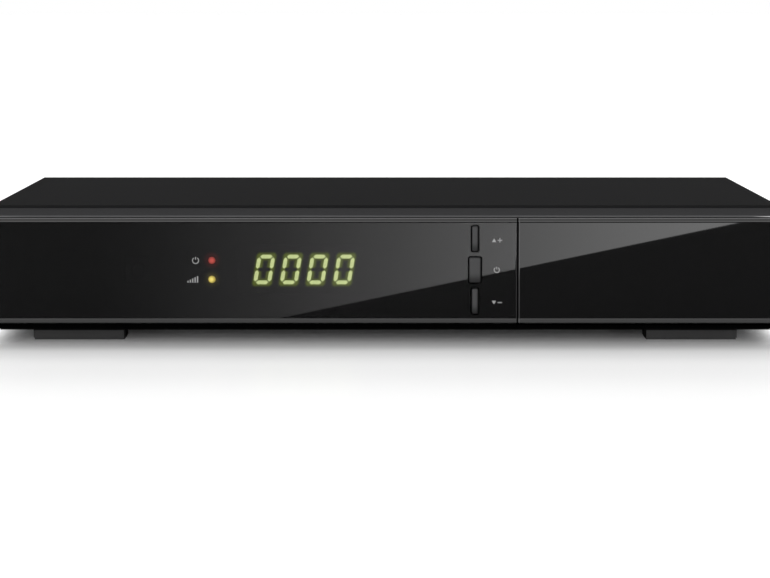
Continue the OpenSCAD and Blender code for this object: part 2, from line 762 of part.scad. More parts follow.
// Flat cable from the front board down to the main board
module front_ribbon() color([0.85, 0.85, 0.83]) {
  y0 = front_board_back + 1.2;
  y1 = main_y0 + 8;
  plug_top = board_top + 3;
  along_x(ribbon_x - ribbon_w / 2, ribbon_x + ribbon_w / 2) polygon([
    [y0, ribbon_z + 1.8], [y0, ribbon_z + 1.8 + ribbon_t],
    [y1 - 2, ribbon_z + 4 + ribbon_t], [y1 + ribbon_t, ribbon_z + 2],
    [y1 + ribbon_t, plug_top], [y1, plug_top], [y1, ribbon_z + 1.8],
    [y1 - 2, ribbon_z + 4]
  ]);
  block([ribbon_x - ribbon_w / 2 - 1.5, y1 - 1.6, board_top],
        [ribbon_x + ribbon_w / 2 + 1.5, y1 + 2, plug_top]);
}

// ---- Display and lamps ----

// Corner of a light bar, leaned by the slant of the digits
function leaned(x, z) = [x + z * tan(digit_slant), z];

bar_gap = 0.25;

// Lying light bar, centred at a height, with pointed ends
module lying_bar(z) {
  a = digit_w / 2 - bar_t / 2 - bar_gap;
  h = bar_t / 2;
  polygon([leaned(-a, z), leaned(-a + h, z + h), leaned(a - h, z + h),
           leaned(a, z), leaned(a - h, z - h), leaned(-a + h, z - h)]);
}

// Standing light bar between two heights, centred at x
module standing_bar(x, z0, z1) {
  h = bar_t / 2;
  polygon([leaned(x, z0), leaned(x + h, z0 + h), leaned(x + h, z1 - h),
           leaned(x, z1), leaned(x - h, z1 - h), leaned(x - h, z0 + h)]);
}

// The six bars that make a nought
module lit_digit() {
  x = digit_w / 2 - bar_t / 2;
  z = digit_h / 2 - bar_t / 2;
  for (s = [-1, 1]) {
    lying_bar(s * z);
    standing_bar(s * x, bar_gap, z - bar_gap);
    standing_bar(s * x, -z + bar_gap, -bar_gap);
  }
}

module at_each_digit() {
  for (i = [-1.5 : 1 : 1.5]) translate([display_x + i * digit_pitch, display_z]) children();
}

bar_depth = 1.2;

module display_housing() color([0.06, 0.06, 0.06]) {
  difference() {
    translate([display_x, 0, display_z]) along_y(lens_back, front_board_y)
      square([display_w, display_h], center = true);
    along_y(lens_back - eps, lens_back + bar_depth) at_each_digit() {
      lit_digit();
      lying_bar(0);
    }
  }
}

module display_lit_bars() color([0.75, 0.95, 0.3]) {
  along_y(lens_back, lens_back + bar_depth) at_each_digit() lit_digit();
}

module display_dark_bars() color([0.2, 0.24, 0.16]) {
  along_y(lens_back, lens_back + bar_depth) at_each_digit() lying_bar(0);
}

lamp_body_l = 4;

// Lamp with its tip in the panel, its body in the bulkhead and two legs
module lamp(z) {
  collar_y = lens_back + lamp_body_l;
  leg = 0.25;
  rod_y(lamp_x, z, lamp_r, face_y + 0.15, lens_back + eps);
  rod_y(lamp_x, z, lamp_r + 0.45, lens_back, collar_y + eps);
  rod_y(lamp_x, z, lamp_r + 0.8, collar_y, collar_y + 0.8);
  for (x = [lamp_x - 0.9, lamp_x + 0.9])
    block([x - leg, collar_y + 0.4, z - leg], [x + leg, front_board_y, z + leg]);
}

module power_lamp() color([0.85, 0.15, 0.12]) lamp(lamp_z + lamp_pitch / 2);
module signal_lamp() color([0.95, 0.75, 0.15]) lamp(lamp_z - lamp_pitch / 2);

remote_w = 6;
remote_h = 7.5;
remote_in = 2;
remote_dome_in = 2.8;
remote_dome_r = 2.6;

module remote_receiver() color([0.1, 0.08, 0.12]) {
  translate([remote_x, 0, display_z]) along_y(lens_back + remote_in, front_board_y)
    square([remote_w, remote_h], center = true);
  difference() {
    translate([remote_x, lens_back + remote_dome_in, display_z]) sphere(remote_dome_r);
    block([remote_x - remote_w, lens_back + remote_in + eps, display_z - remote_h],
          [remote_x + remote_w, front_board_y, display_z + remote_h]);
  }
}

// ---- Card reader and front USB socket ----

reader_wall = 6;
reader_slot_h = 1.1;
contact_half = 9;
contact_y0 = 22;
contact_y1 = 38;
contact_floor = 0.5;

module card_reader() color([0.13, 0.13, 0.14]) {
  y0 = bay_back;
  difference() {
    block([card_x - reader_w / 2, y0, board_top], [card_x + reader_w / 2, y0 + reader_d, board_top + reader_h]);
    translate([card_x, 0, card_z]) along_y(y0 - eps, y0 + reader_d - reader_wall)
      square([card_slot_w - 1, reader_slot_h], center = true);
    // Window over the contacts
    block([card_x - contact_half, y0 + contact_y0, card_z + contact_floor],
          [card_x + contact_half, y0 + contact_y1, board_top + reader_h + eps]);
  }
}

usb_wall = 0.35;
usb_back_t = 3;
usb_tongue_w = 11.2;
usb_tongue_t = 1.9;
usb_tongue_rise = 0.8;
usb_tongue_in = 0.8;

module usb_shell() color([0.78, 0.78, 0.8]) {
  difference() {
    translate([usb_x, 0, usb_z]) along_y(bay_y, bay_y + usb_l) square([usb_w, usb_h], center = true);
    translate([usb_x, 0, usb_z]) along_y(bay_y - eps, bay_y + usb_l - usb_back_t)
      square([usb_w - 2 * usb_wall, usb_h - 2 * usb_wall], center = true);
  }
}

module usb_tongue() color([0.95, 0.95, 0.93]) {
  translate([usb_x, 0, usb_z + usb_tongue_rise]) along_y(bay_y + usb_tongue_in, bay_y + usb_l - usb_back_t)
    square([usb_tongue_w, usb_tongue_t], center = true);
}

// ---- Main board ----

module main_board() color([0.1, 0.36, 0.2]) {
  difference() {
    block([main_x0, main_y0, board_z], [main_x1, main_y1, board_top]);
    for (x = main_screw_xs, y = main_screw_ys) rod_z(x, y, screw_r + 0.2, board_z - eps, board_top + eps);
    for (x = main_front_xs) rod_z(x, main_y0 + screw_margin, screw_r + 0.2, board_z - eps, board_top + eps);
  }
}

board_head_r = 2.6;
board_head_h = 1.6;
screw_end_gap = 0.5;

module screws_at(xs, ys) {
  for (x = xs, y = ys) translate([x, y, board_top])
    screw(screw_r - 0.05, board_t + standoff_h - screw_end_gap, board_head_r, board_head_h);
}

module board_screws() color([0.76, 0.76, 0.78]) {
  screws_at(main_screw_xs, main_screw_ys);
  screws_at(main_front_xs, [main_y0 + screw_margin]);
  screws_at(supply_screw_xs, supply_screw_ys);
}

processor_w = 27;
processor_h = 1.8;
processor_in_x = 60;
processor_in_y = 92;
processor_x = main_x0 + processor_in_x;
processor_y = main_y0 + processor_in_y;

module processor() color([0.1, 0.1, 0.11]) {
  translate([processor_x, processor_y, board_top + processor_h / 2])
    cube([processor_w, processor_w, processor_h], center = true);
}

sink_w = 36;
sink_base = 2.4;
sink_fin_h = 9;
sink_fin_t = 1.2;
sink_fins = 9;

module heat_sink() color([0.12, 0.12, 0.13]) {
  step = (sink_w - sink_fin_t) / (sink_fins - 1);
  translate([processor_x - sink_w / 2, processor_y - sink_w / 2, board_top + processor_h]) {
    cube([sink_w, sink_w, sink_base]);
    for (i = [0 : sink_fins - 1]) translate([i * step, 0, sink_base - eps])
      cube([sink_fin_t, sink_w, sink_fin_h]);
  }
}

chip_w = 18;
chip_d = 10;
chip_h = 1.2;
chip_stand = 0.1;
lead_pitch = 2.5;
lead_w = 0.9;
lead_l = 1.4;
lead_t = 0.6;
chip_gap = 24;
chip_off = 2;

// Flat chip with a row of leads along two sides
module chip(x, y, w, d) {
  leads = floor(w / lead_pitch);
  translate([x, y, board_top + chip_stand + chip_h / 2]) cube([w, d, chip_h], center = true);
  for (i = [0 : leads - 1], s = [-1, 1])
    translate([x + (i - (leads - 1) / 2) * lead_pitch, y + s * (d + lead_l - 2 * chip_stand) / 2,
               board_top + lead_t / 2])
      cube([lead_w, lead_l, lead_t], center = true);
}

module board_chips() color([0.09, 0.09, 0.1]) {
  right = processor_x + sink_w / 2;
  left = processor_x - sink_w / 2;
  front = processor_y - sink_w / 2;
  // Two memory chips beside the processor, and three others round it
  for (s = [-1, 1]) chip(right + chip_w - chip_off, processor_y - chip_off + s * chip_gap / 2, chip_d, chip_w);
  chip(processor_x - 2 * chip_off, front - chip_w + chip_off, chip_w, chip_d + chip_off);
  chip(right + 2 * chip_gap, processor_y - chip_off, chip_d + 2 * chip_off, chip_d + 2 * chip_off);
  chip(left - chip_gap + chip_off, processor_y - 3 * chip_off, chip_d + 2 * chip_off, chip_d);
}

can_rim = 0.6;

// Standing capacitor with a bevelled rim
module can_capacitor(x, y, r, h) {
  rod_z(x, y, r, board_top, board_top + h - can_rim);
  translate([x, y, board_top + h - can_rim - eps]) cylinder(r1 = r, r2 = r - can_rim, h = can_rim);
}

main_can_r = 4;
main_can_h = 12;
main_can_step = 11;
low_can_r = 3.2;
low_can_h = 9;
low_can_step = 9;
main_can_in_x = 16;
main_can_in_y = 30;
right_can_gap = 8;
left_can_in_x = 17;
left_can_gap = 22;

module board_capacitors() color([0.14, 0.14, 0.2]) {
  for (i = [0 : 3])
    can_capacitor(main_x0 + main_can_in_x + i * main_can_step, main_y0 + main_can_in_y, main_can_r, main_can_h);
  for (i = [0 : 2]) {
    can_capacitor(processor_x + sink_w + right_can_gap + i * main_can_step,
                  processor_y + chip_gap + right_can_gap, low_can_r, low_can_h);
    can_capacitor(main_x0 + left_can_in_x, processor_y + left_can_gap + i * low_can_step, low_can_r, low_can_h);
  }
}

// ---- Rear connectors ----

can_dimple_r = 2;
can_dimple_step = 11;
can_dimple_d = 0.5;
tuner_wall_gap = 0.8;

module tuner_can() color([0.75, 0.76, 0.77]) {
  y1 = wall_y - sheet_t - tuner_wall_gap;
  top = board_top + tuner_h;
  difference() {
    block([tuner_x - tuner_w / 2, y1 - tuner_d, board_top], [tuner_x + tuner_w / 2, y1, top]);
    for (i = [-1, 0, 1], j = [0, 1])
      rod_z(tuner_x + i * can_dimple_step, y1 - (j + 1) * tuner_d / 3, can_dimple_r,
            top - can_dimple_d, top + eps);
  }
}

module coax_at() {
  for (s = [-1, 1]) translate([tuner_x + s * coax_pitch / 2, 0, coax_z]) children();
}

nut_t = 2;
nut_r = coax_r + 2.14;
coax_neck = 0.24;
core_r = coax_r - 1.66;
core_hole_r = 0.65;
core_seat = 1;
core_sink = 0.8;
core_hole_floor = 4;

// Barrel of an aerial connector, with its seat for the core
module coax_barrels() color([0.8, 0.8, 0.78]) {
  coax_at() difference() {
    union() {
      rod_y(0, 0, coax_r, wall_y, wall_y + coax_reach);
      rod_y(0, 0, coax_r + coax_neck, wall_y - sheet_t - tuner_wall_gap, wall_y + nut_t);
    }
    rod_y(0, 0, core_r, wall_y + core_seat, wall_y + coax_reach + eps);
  }
}

module coax_cores() color([0.93, 0.92, 0.86]) {
  coax_at() difference() {
    rod_y(0, 0, core_r, wall_y + core_seat, wall_y + coax_reach - core_sink);
    rod_y(0, 0, core_hole_r, wall_y + core_hole_floor, wall_y + coax_reach);
  }
}

module coax_nuts() color([0.78, 0.76, 0.7]) {
  coax_at() along_y(wall_y, wall_y + nut_t) difference() {
    rotate(30) circle(r = nut_r, $fn = 6);
    circle(coax_r + coax_neck);
  }
}

insert_r = phono_r + 1.05;
groove_r = phono_r - 0.6;
groove_d = 2;
block_y = wall_y - 3;
block_d = 13;
block_over = 6.2;
insert_rim = 4.5;
bore_floor = 3;

module phono_block() color([0.09, 0.09, 0.1]) {
  block([phono_x - phono_half, block_y - block_d, board_top],
        [phono_x + phono_half, block_y, phono_z + block_over]);
}

// Coloured insert of a phono socket: a ring round the sleeve and the core in it
module phono_insert(i) {
  core_end = wall_y - block_y + phono_reach - 1;
  translate([phono_x + i * phono_pitch, block_y, phono_z]) rotate([-90, 0, 0]) rotate_extrude() polygon([
    [0, 0], [insert_r, 0], [insert_r, insert_rim], [phono_r, insert_rim], [phono_r, groove_d],
    [groove_r, groove_d],
    [groove_r, core_end], [phono_bore, core_end], [phono_bore, bore_floor], [0, bore_floor]
  ]);
}

module phono_yellow() color([0.95, 0.8, 0.1]) phono_insert(1);
module phono_white() color([0.93, 0.93, 0.93]) phono_insert(0);
module phono_red() color([0.8, 0.1, 0.1]) phono_insert(-1);

module phono_sleeves() color([0.82, 0.82, 0.83]) {
  for (i = [-1, 0, 1]) translate([phono_x + i * phono_pitch, block_y + groove_d, phono_z]) rotate([-90, 0, 0])
    rotate_extrude() translate([groove_r, 0]) square([phono_r - groove_r, phono_reach + 1]);
}

scart_deep = 14;
scart_wall = 0.6;
scart_rim = 2;
scart_well = 6;
scart_pitch = 3.8;
scart_slot_w = 1.2;
scart_slot_h = 2.6;

// Outline of the wide socket, with its one sloping corner
module scart_outline(inset) {
  w = scart_w / 2 - inset;
  h = scart_h / 2 - inset;
  polygon([[-w, -h], [w, -h], [w, h - scart_h / 3], [w - scart_h / 4, h], [-w, h]]);
}

module scart_shield() color([0.78, 0.78, 0.8]) {
  translate([scart_x, 0, scart_z]) along_y(wall_y - scart_deep, wall_y + 1) difference() {
    scart_outline(0);
    scart_outline(scart_wall);
  }
}

module scart_body() color([0.07, 0.07, 0.08]) {
  well_y = wall_y - scart_well;
  translate([scart_x, 0, scart_z]) difference() {
    union() {
      along_y(wall_y - scart_deep, well_y) scart_outline(scart_wall);
      along_y(well_y - eps, wall_y + 0.4) scart_outline(scart_wall + scart_rim);
    }
    for (i = [0 : 9], s = [-1, 1])
      translate([(i - 4.5) * scart_pitch + s * 0.9, wall_y, s * 2.2])
        cube([scart_slot_w, 10, scart_slot_h], center = true);
  }
  // Foot of the socket on the board
  block([scart_x - scart_w / 2 + 2, wall_y - scart_deep, board_top],
        [scart_x + scart_w / 2 - 2, wall_y - sheet_t - 1, scart_z - scart_h / 2]);
}

serial_half_h = 4.2;
serial_top_half = 8.5;
serial_low_half = 7.3;
serial_reach = 5.5;
serial_wall = 0.5;
serial_y = wall_y - sheet_t - 1;
serial_block_d = 10.3;
post_x = 12.5;
post_r = 2.75;
post_shank_r = 1.45;
post_l = 5;
pin_pitch = 2.77;
pin_row = 1.42;
pin_bore_r = 0.55;

// Outline of the small D-shaped socket
module serial_outline(inset) {
  h = serial_half_h - inset;
  top = serial_top_half - inset;
  low = serial_low_half - inset;
  polygon([[-low, -h], [low, -h], [top, h], [-top, h]]);
}

module serial_shell() color([0.78, 0.78, 0.78]) {
  translate([serial_x, 0, serial_z]) {
    along_y(serial_y, wall_y + serial_reach) difference() {
      serial_outline(0);
      serial_outline(serial_wall);
    }
    along_y(serial_y, wall_y - sheet_t) difference() {
      round_rect(serial_w, serial_h, 2);
      serial_outline(serial_wall);
      for (s = [-1, 1]) translate([s * post_x, 0]) circle(post_shank_r + 0.05);
    }
  }
}

module serial_body() color([0.12, 0.2, 0.42]) {
  translate([serial_x, 0, serial_z]) difference() {
    along_y(serial_y, wall_y + serial_reach - 0.5) serial_outline(serial_wall);
    for (i = [-2 : 2]) rod_y(i * pin_pitch, pin_row, pin_bore_r, wall_y, wall_y + serial_reach);
    for (i = [-1.5 : 1.5]) rod_y(i * pin_pitch, -pin_row, pin_bore_r, wall_y, wall_y + serial_reach);
  }
  block([serial_x - serial_w / 2, serial_y - serial_block_d, board_top],
        [serial_x + serial_w / 2, serial_y, serial_z + serial_h / 2 - 0.25]);
}

// Hexagonal posts either side of the D-shaped socket
module serial_posts() color([0.8, 0.78, 0.72]) {
  for (s = [-1, 1]) translate([serial_x + s * post_x, 0, serial_z]) difference() {
    union() {
      along_y(wall_y, wall_y + post_l) circle(r = post_r, $fn = 6);
      rod_y(0, 0, post_shank_r, serial_y, wall_y + eps);
    }
    rod_y(0, 0, 1, wall_y + 1, wall_y + post_l + 1);
  }
}

// ---- Power supply ----

module supply_board() color([0.62, 0.48, 0.25]) {
  difference() {
    block([supply_x0, supply_y0, board_z], [supply_x1, supply_y1, board_top]);
    for (x = supply_screw_xs, y = supply_screw_ys) rod_z(x, y, screw_r + 0.2, board_z - eps, board_top + eps);
  }
}

core_w = 28;
core_d = 14;
core_h = 18;
core_rise = 4;
core_wall = 4.5;
bobbin_w = 18;
bobbin_d = 24;
winding_gap = 0.1;
winding_t = 5.5;
transformer_in_x = 27;
transformer_in_y = 36.5;
transformer_x = supply_x0 + transformer_in_x;
transformer_y = supply_y0 + transformer_in_y;

// Bobbin on the board, the core of two halves, and the windings in its windows
module transformer() color([0.2, 0.2, 0.2]) {
  z0 = board_top + core_rise;
  leg = core_w / 2 - core_wall;
  inner = leg - winding_t;
  window_h = core_h - 2 * core_wall / 1.5;
  z1 = z0 + core_wall / 1.5;
  translate([transformer_x, transformer_y, 0]) {
    block([-bobbin_w / 2, -bobbin_d / 2, board_top], [bobbin_w / 2, bobbin_d / 2, z0]);
    difference() {
      block([-core_w / 2, -core_d / 2, z0], [core_w / 2, core_d / 2, z0 + core_h]);
      for (s = [-1, 1]) translate([s * (leg + inner) / 2, 0, z1 + window_h / 2])
        cube([leg - inner, core_d + 2, window_h], center = true);
    }
    difference() {
      block([-leg + winding_gap, -bobbin_d / 2, z1 + winding_gap],
            [leg - winding_gap, bobbin_d / 2, z1 + window_h - winding_gap]);
      block([-inner - winding_gap, -core_d / 2 - winding_gap, z1],
            [inner + winding_gap, core_d / 2 + winding_gap, z1 + window_h]);
    }
  }
}

supply_can_r = 9;
supply_can_h = 25;
filter_can_r = 5;
filter_can_h = 20;
filter_can_step = 12;
supply_can_in_x = 5;
supply_can_in_y = 58;
filter_can_in_y = 19;

module supply_capacitors() color([0.12, 0.12, 0.18]) {
  can_capacitor(supply_x0 + supply_can_r + supply_can_in_x, supply_y0 + supply_can_in_y,
                supply_can_r, supply_can_h);
  for (i = [0 : 2])
    can_capacitor(supply_x0 + 2 * filter_can_r + i * filter_can_step, supply_y0 + filter_can_in_y,
                  filter_can_r, filter_can_h);
}

bar_sink_t = 2;
bar_sink_l = 32;
bar_sink_h = 22;
bar_fin_l = 6;
bar_fin_step = 7.5;
bar_sink_in_x = 4;
bar_sink_in_y = 14;
transistor_t = 4.5;
transistor_w = 10;
transistor_h = 16;

module supply_heat_sink() color([0.7, 0.7, 0.72]) {
  x = supply_x1 - bar_sink_in_x - bar_fin_l - bar_sink_t;
  y0 = supply_y1 - bar_sink_in_y - bar_sink_l;
  mid = y0 + bar_sink_l / 2;
  block([x, y0, board_top], [x + bar_sink_t, y0 + bar_sink_l, board_top + bar_sink_h]);
  for (i = [0 : 4])
    translate([x + bar_sink_t - eps, y0 + i * bar_fin_step, board_top])
      cube([bar_fin_l, bar_sink_t, bar_sink_h]);
  // Switching transistor clamped to it
  block([x - transistor_t, mid - transistor_w / 2, board_top],
        [x, mid + transistor_w / 2, board_top + transistor_h]);
}

choke_r = 6.5;
choke_ring_r = 3.4;
choke_base_t = 1.6;
choke_base_half = 5;
choke_base_lip = 1;
choke_stand = 1.1;
choke_in_x = 6.1;
choke_in_y = 21;

module mains_choke() color([0.55, 0.3, 0.15]) {
  outer = choke_r + choke_ring_r;
  x = supply_x0 + outer + choke_in_x;
  y = supply_y1 - choke_in_y;
  translate([x, y, board_top + outer + choke_stand])
    rotate([0, 90, 0]) rotate_extrude() translate([choke_r, 0]) circle(choke_ring_r);
  block([x - choke_base_half, y - outer - choke_base_lip, board_top],
        [x + choke_base_half, y + outer + choke_base_lip, board_top + choke_base_t]);
}

// ---- Mains inlet, switch and their leads ----

inlet_deep = 18;
inlet_floor = 4;
recess_r = 4.3;
inlet_pin_r = 1.2;
inlet_pin_x = 4.3;
contact_l = 5;
inlet_face = 2.4;
tab_l = 6;
tab_w = 4.8;
tab_t = 0.8;
tab_z = 4;

module inlet_shape(r, spread) {
  square([spread, 2 * r], center = true);
  for (s = [-1, 1]) translate([s * spread / 2, 0]) circle(r);
}

module mains_inlet() color([0.07, 0.07, 0.07]) {
  translate([inlet_x, 0, inlet_z]) difference() {
    union() {
      along_y(wall_y, wall_y + inlet_face) round_rect(inlet_w, inlet_h, 2);
      along_y(wall_y - inlet_deep, wall_y + eps) square([inlet_body_w, inlet_body_h], center = true);
    }
    along_y(wall_y - inlet_deep + inlet_floor, wall_y + inlet_face + eps)
      inlet_shape(recess_r, 2 * inlet_pin_x);
    for (s = [-1, 1]) rod_y(s * inlet_pin_x, 0, inlet_pin_r, wall_y - inlet_deep - eps, wall_y);
  }
}

module mains_contacts() color([0.85, 0.8, 0.6]) {
  for (s = [-1, 1]) {
    rod_y(inlet_x + s * inlet_pin_x, inlet_z, inlet_pin_r, wall_y - inlet_deep - contact_l, wall_y - 1.5);
    // Tabs of the switch
    translate([switch_x, switch_back - tab_l / 2, switch_z + s * tab_z])
      cube([tab_w, tab_l, tab_t], center = true);
  }
}

switch_back = wall_y - 16;
bezel_t = 1.6;
well_floor = 4;
well_h = rocker_h + 1.4;
well_w = rocker_w + 0.8;
rocker_pin_l = 1.1;

module switch_bezel() color([0.08, 0.08, 0.08]) {
  pin_end = rocker_w / 2 + rocker_pin_l + 0.2;
  translate([switch_x, 0, switch_z]) difference() {
    union() {
      along_y(wall_y, wall_y + bezel_t) round_rect(switch_w + 2 * bezel_lip, switch_h + 2 * bezel_lip, 1.5);
      along_y(switch_back, wall_y + eps) square([switch_w, switch_h], center = true);
    }
    along_y(switch_back + well_floor, wall_y + bezel_t + eps) square([well_w, well_h], center = true);
    rod_x(rocker_pivot_y, 0, rocker_pin_r + 0.05, -pin_end, pin_end);
  }
}

rocker_crest = 2.6;
rocker_edge = 2.4;
rocker_root = 5;

// Rocker, shown pressed at its lower end
module mains_rocker() color([0.1, 0.1, 0.1]) {
  half = rocker_h / 2;
  tip = rocker_crest + half * tan(rocker_swing / 2);
  translate([switch_x, rocker_pivot_y, switch_z]) rotate([-rocker_swing / 2, 0, 0]) {
    along_x(-rocker_w / 2, rocker_w / 2) polygon([
      [rocker_crest, 0], [tip, half], [tip - rocker_edge, half], [-1, 4], [-rocker_root, 2],
      [-rocker_root, -2], [-1, -4], [tip - rocker_edge, -half], [tip, -half]
    ]);
    rod_x(0, 0, rocker_pin_r, -rocker_w / 2 - rocker_pin_l, rocker_w / 2 + rocker_pin_l);
  }
}

// Round lead through the points given, with a ball at each bend
module lead(points, r) {
  for (i = [0 : len(points) - 2]) {
    step = points[i + 1] - points[i];
    translate(points[i]) rotate([0, acos(step[2] / norm(step)), atan2(step[1], step[0])])
      cylinder(r = r, h = norm(step), $fn = 24);
  }
  for (i = [1 : len(points) - 2]) translate(points[i]) sphere(r * 1.04, $fn = 24);
}

lead_r = 0.9;
pad_step = 3;

module supply_leads() color([0.35, 0.2, 0.15]) {
  inlet_end = wall_y - inlet_deep - contact_l;
  pads_y = supply_y1 - tab_z;
  pads_x = switch_x - 4 * pad_step;
  for (s = [-1, 1]) {
    x = inlet_x + s * inlet_pin_x;
    z = switch_z + s * tab_z;
    pad_x = pads_x + s * pad_step;
    lead([[x, inlet_end, inlet_z], [x, pads_y, inlet_z], [x, pads_y, board_top]], lead_r);
    lead([[switch_x, switch_back - tab_l, z], [switch_x, pads_y - s, z],
          [pad_x, pads_y - s, board_top + 2 * pad_step], [pad_x, pads_y - s, board_top]], lead_r);
  }
}

top_cover();
chassis_pan();
front_frame();
front_lens();
flap_skin();
flap_carrier();
foot_front_left();
foot_front_right();
foot_rear_left();
foot_rear_right();
cover_screws();
key_channel_up();
key_power();
key_channel_down();
switch_plunger_up();
switch_plunger_power();
switch_plunger_down();
key_switches();
front_board();
front_board_screws();
display_housing();
display_lit_bars();
display_dark_bars();
power_lamp();
signal_lamp();
remote_receiver();
front_ribbon();
main_board();
board_screws();
card_reader();
usb_shell();
usb_tongue();
tuner_can();
coax_barrels();
coax_cores();
coax_nuts();
phono_block();
phono_sleeves();
phono_yellow();
phono_white();
phono_red();
scart_shield();
scart_body();
serial_shell();
serial_body();
serial_posts();
processor();
heat_sink();
board_chips();
board_capacitors();
supply_board();
transformer();
supply_capacitors();
supply_heat_sink();
mains_choke();
supply_leads();
mains_inlet();
mains_contacts();
switch_bezel();
mains_rocker();
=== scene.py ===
import json
import math

import bmesh
import bpy
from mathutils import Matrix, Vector


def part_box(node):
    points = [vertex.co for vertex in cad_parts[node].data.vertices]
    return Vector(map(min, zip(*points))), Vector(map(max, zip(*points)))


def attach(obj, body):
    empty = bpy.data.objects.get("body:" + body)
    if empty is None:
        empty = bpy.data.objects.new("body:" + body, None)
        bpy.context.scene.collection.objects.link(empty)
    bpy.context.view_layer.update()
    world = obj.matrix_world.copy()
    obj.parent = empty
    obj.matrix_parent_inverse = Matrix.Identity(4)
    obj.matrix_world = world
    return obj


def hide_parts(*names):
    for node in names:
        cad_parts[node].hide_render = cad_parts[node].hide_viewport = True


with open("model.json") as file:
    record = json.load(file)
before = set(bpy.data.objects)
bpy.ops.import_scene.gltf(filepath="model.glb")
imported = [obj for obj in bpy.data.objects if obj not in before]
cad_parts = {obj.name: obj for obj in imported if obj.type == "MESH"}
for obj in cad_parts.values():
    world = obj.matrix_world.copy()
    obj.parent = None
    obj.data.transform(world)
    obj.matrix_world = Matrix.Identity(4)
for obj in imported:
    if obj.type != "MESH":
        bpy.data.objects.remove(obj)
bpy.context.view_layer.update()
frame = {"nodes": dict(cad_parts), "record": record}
nodes = frame["nodes"]
mm = 0.001
print("packed part loaded:", len(nodes), "nodes")


# Shader sockets as numbers in sums

class Wire:
    def __init__(self, finish, socket):
        self.finish = finish
        self.socket = socket

    def sum(self, operation, *values):
        return self.finish.node("ShaderNodeMath", {"operation": operation}, dict(enumerate(values)))

    def __add__(self, other):
        return self.sum("ADD", self, other)

    def __radd__(self, other):
        return self.sum("ADD", other, self)

    def __sub__(self, other):
        return self.sum("SUBTRACT", self, other)

    def __rsub__(self, other):
        return self.sum("SUBTRACT", other, self)

    def __mul__(self, other):
        return self.sum("MULTIPLY", self, other)

    def __rmul__(self, other):
        return self.sum("MULTIPLY", other, self)

    def __truediv__(self, other):
        return self.sum("DIVIDE", self, other)

    def __rtruediv__(self, other):
        return self.sum("DIVIDE", other, self)

    def __gt__(self, other):
        return self.sum("GREATER_THAN", self, other)

    def __lt__(self, other):
        return self.sum("LESS_THAN", self, other)

    def absolute(self):
        return self.sum("ABSOLUTE", self)

    def power(self, exponent):
        return self.sum("POWER", self, exponent)

    def lower(self, other):
        return self.sum("MINIMUM", self, other)

    def higher(self, other):
        return self.sum("MAXIMUM", self, other)

    def wave(self):
        return self.sum("SINE", self)

    def ease(self, low, high):  # 0 below low, 1 above high, smooth between
        return self.finish.node("ShaderNodeMapRange", {"interpolation_type": "SMOOTHSTEP"},
                                {"Value": self, "From Min": low, "From Max": high})


class Finish:
    def __init__(self, name):
        self.material = bpy.data.materials.new(name)
        self.material.use_nodes = True
        self.tree = self.material.node_tree
        self.tree.nodes.clear()
        self.place = self.node("ShaderNodeTexCoord", {}, {}, "Object")
        split = self.node("ShaderNodeSeparateXYZ", {}, {0: self.place})
        self.x, self.y, self.z = (Wire(self, split.socket.node.outputs[i]) for i in range(3))

    def node(self, kind, settings, inputs, output=0):
        made = self.tree.nodes.new(kind)
        for key, value in settings.items():
            if key == "stops":
                self.setStops(made.color_ramp, value)
            else:
                setattr(made, key, value)
        for key, value in inputs.items():
            if isinstance(value, Wire):
                self.tree.links.new(value.socket, made.inputs[key])
            else:
                made.inputs[key].default_value = value
        return Wire(self, made.outputs[output]) if len(made.outputs) else None

    def setStops(self, ramp, stops):
        while len(ramp.elements) < len(stops):
            ramp.elements.new(0.5)
        for element, (position, colour) in zip(ramp.elements, stops):
            element.position = position
            element.color = (*colour, 1) if isinstance(colour, tuple) else (colour, colour, colour, 1)

    def noise(self, scale, detail=3.0, roughness=0.5, stretch=None):
        return self.node("ShaderNodeTexNoise", {}, {"Vector": self.stretched(stretch), "Scale": scale,
                         "Detail": detail, "Roughness": roughness})

    def cells(self, scale, feature="F1", output="Distance", stretch=None):
        return self.node("ShaderNodeTexVoronoi", {"feature": feature},
                         {"Vector": self.stretched(stretch), "Scale": scale}, output)

    def stretched(self, stretch):
        if stretch is None:
            return self.place
        return self.node("ShaderNodeMapping", {}, {"Vector": self.place, "Scale": stretch})

    def distance(self, centre, aside=0.0):  # from a point, across the face of the panel
        return ((self.x - centre.x - aside).power(2) + (self.z - centre.z).power(2)).power(0.5)

    def mix(self, factor, first, second):
        first, second = ((*c, 1) if isinstance(c, tuple) else c for c in (first, second))
        return self.node("ShaderNodeMix", {"data_type": "RGBA"}, {0: factor, 6: first, 7: second}, 2)

    def bump(self, height, distance, strength=1.0):
        values = {"Height": height, "Distance": distance, "Strength": strength}
        return self.node("ShaderNodeBump", {}, values, "Normal")

    def surface(self, **sockets):  # ends the tree in one Principled node
        names = {"color": "Base Color", "roughness": "Roughness", "metallic": "Metallic", "normal": "Normal",
                 "ior": "IOR", "specular": "Specular IOR Level", "transmission": "Transmission Weight",
                 "glow": "Emission Color", "glowStrength": "Emission Strength"}
        values = {names[key]: (*value, 1) if isinstance(value, tuple) else value for key, value in sockets.items()}
        shader = self.node("ShaderNodeBsdfPrincipled", {}, values)
        self.node("ShaderNodeOutputMaterial", {}, {"Surface": shader})
        return self.material


def shade(colour, factor):
    return tuple(c * factor for c in colour)


# Finishes of the housing

powderCoat = {"colour": (0.0142, 0.0142, 0.0145), "grain": 1500, "roughness": 0.95, "specular": 0.004,
              "cutEdgeLight": 2.0, "cutEdgeLowLight": 5.2, "edgeBlend": (0.75 * mm, 0.2 * mm), "cutDepth": 0.05 * mm}


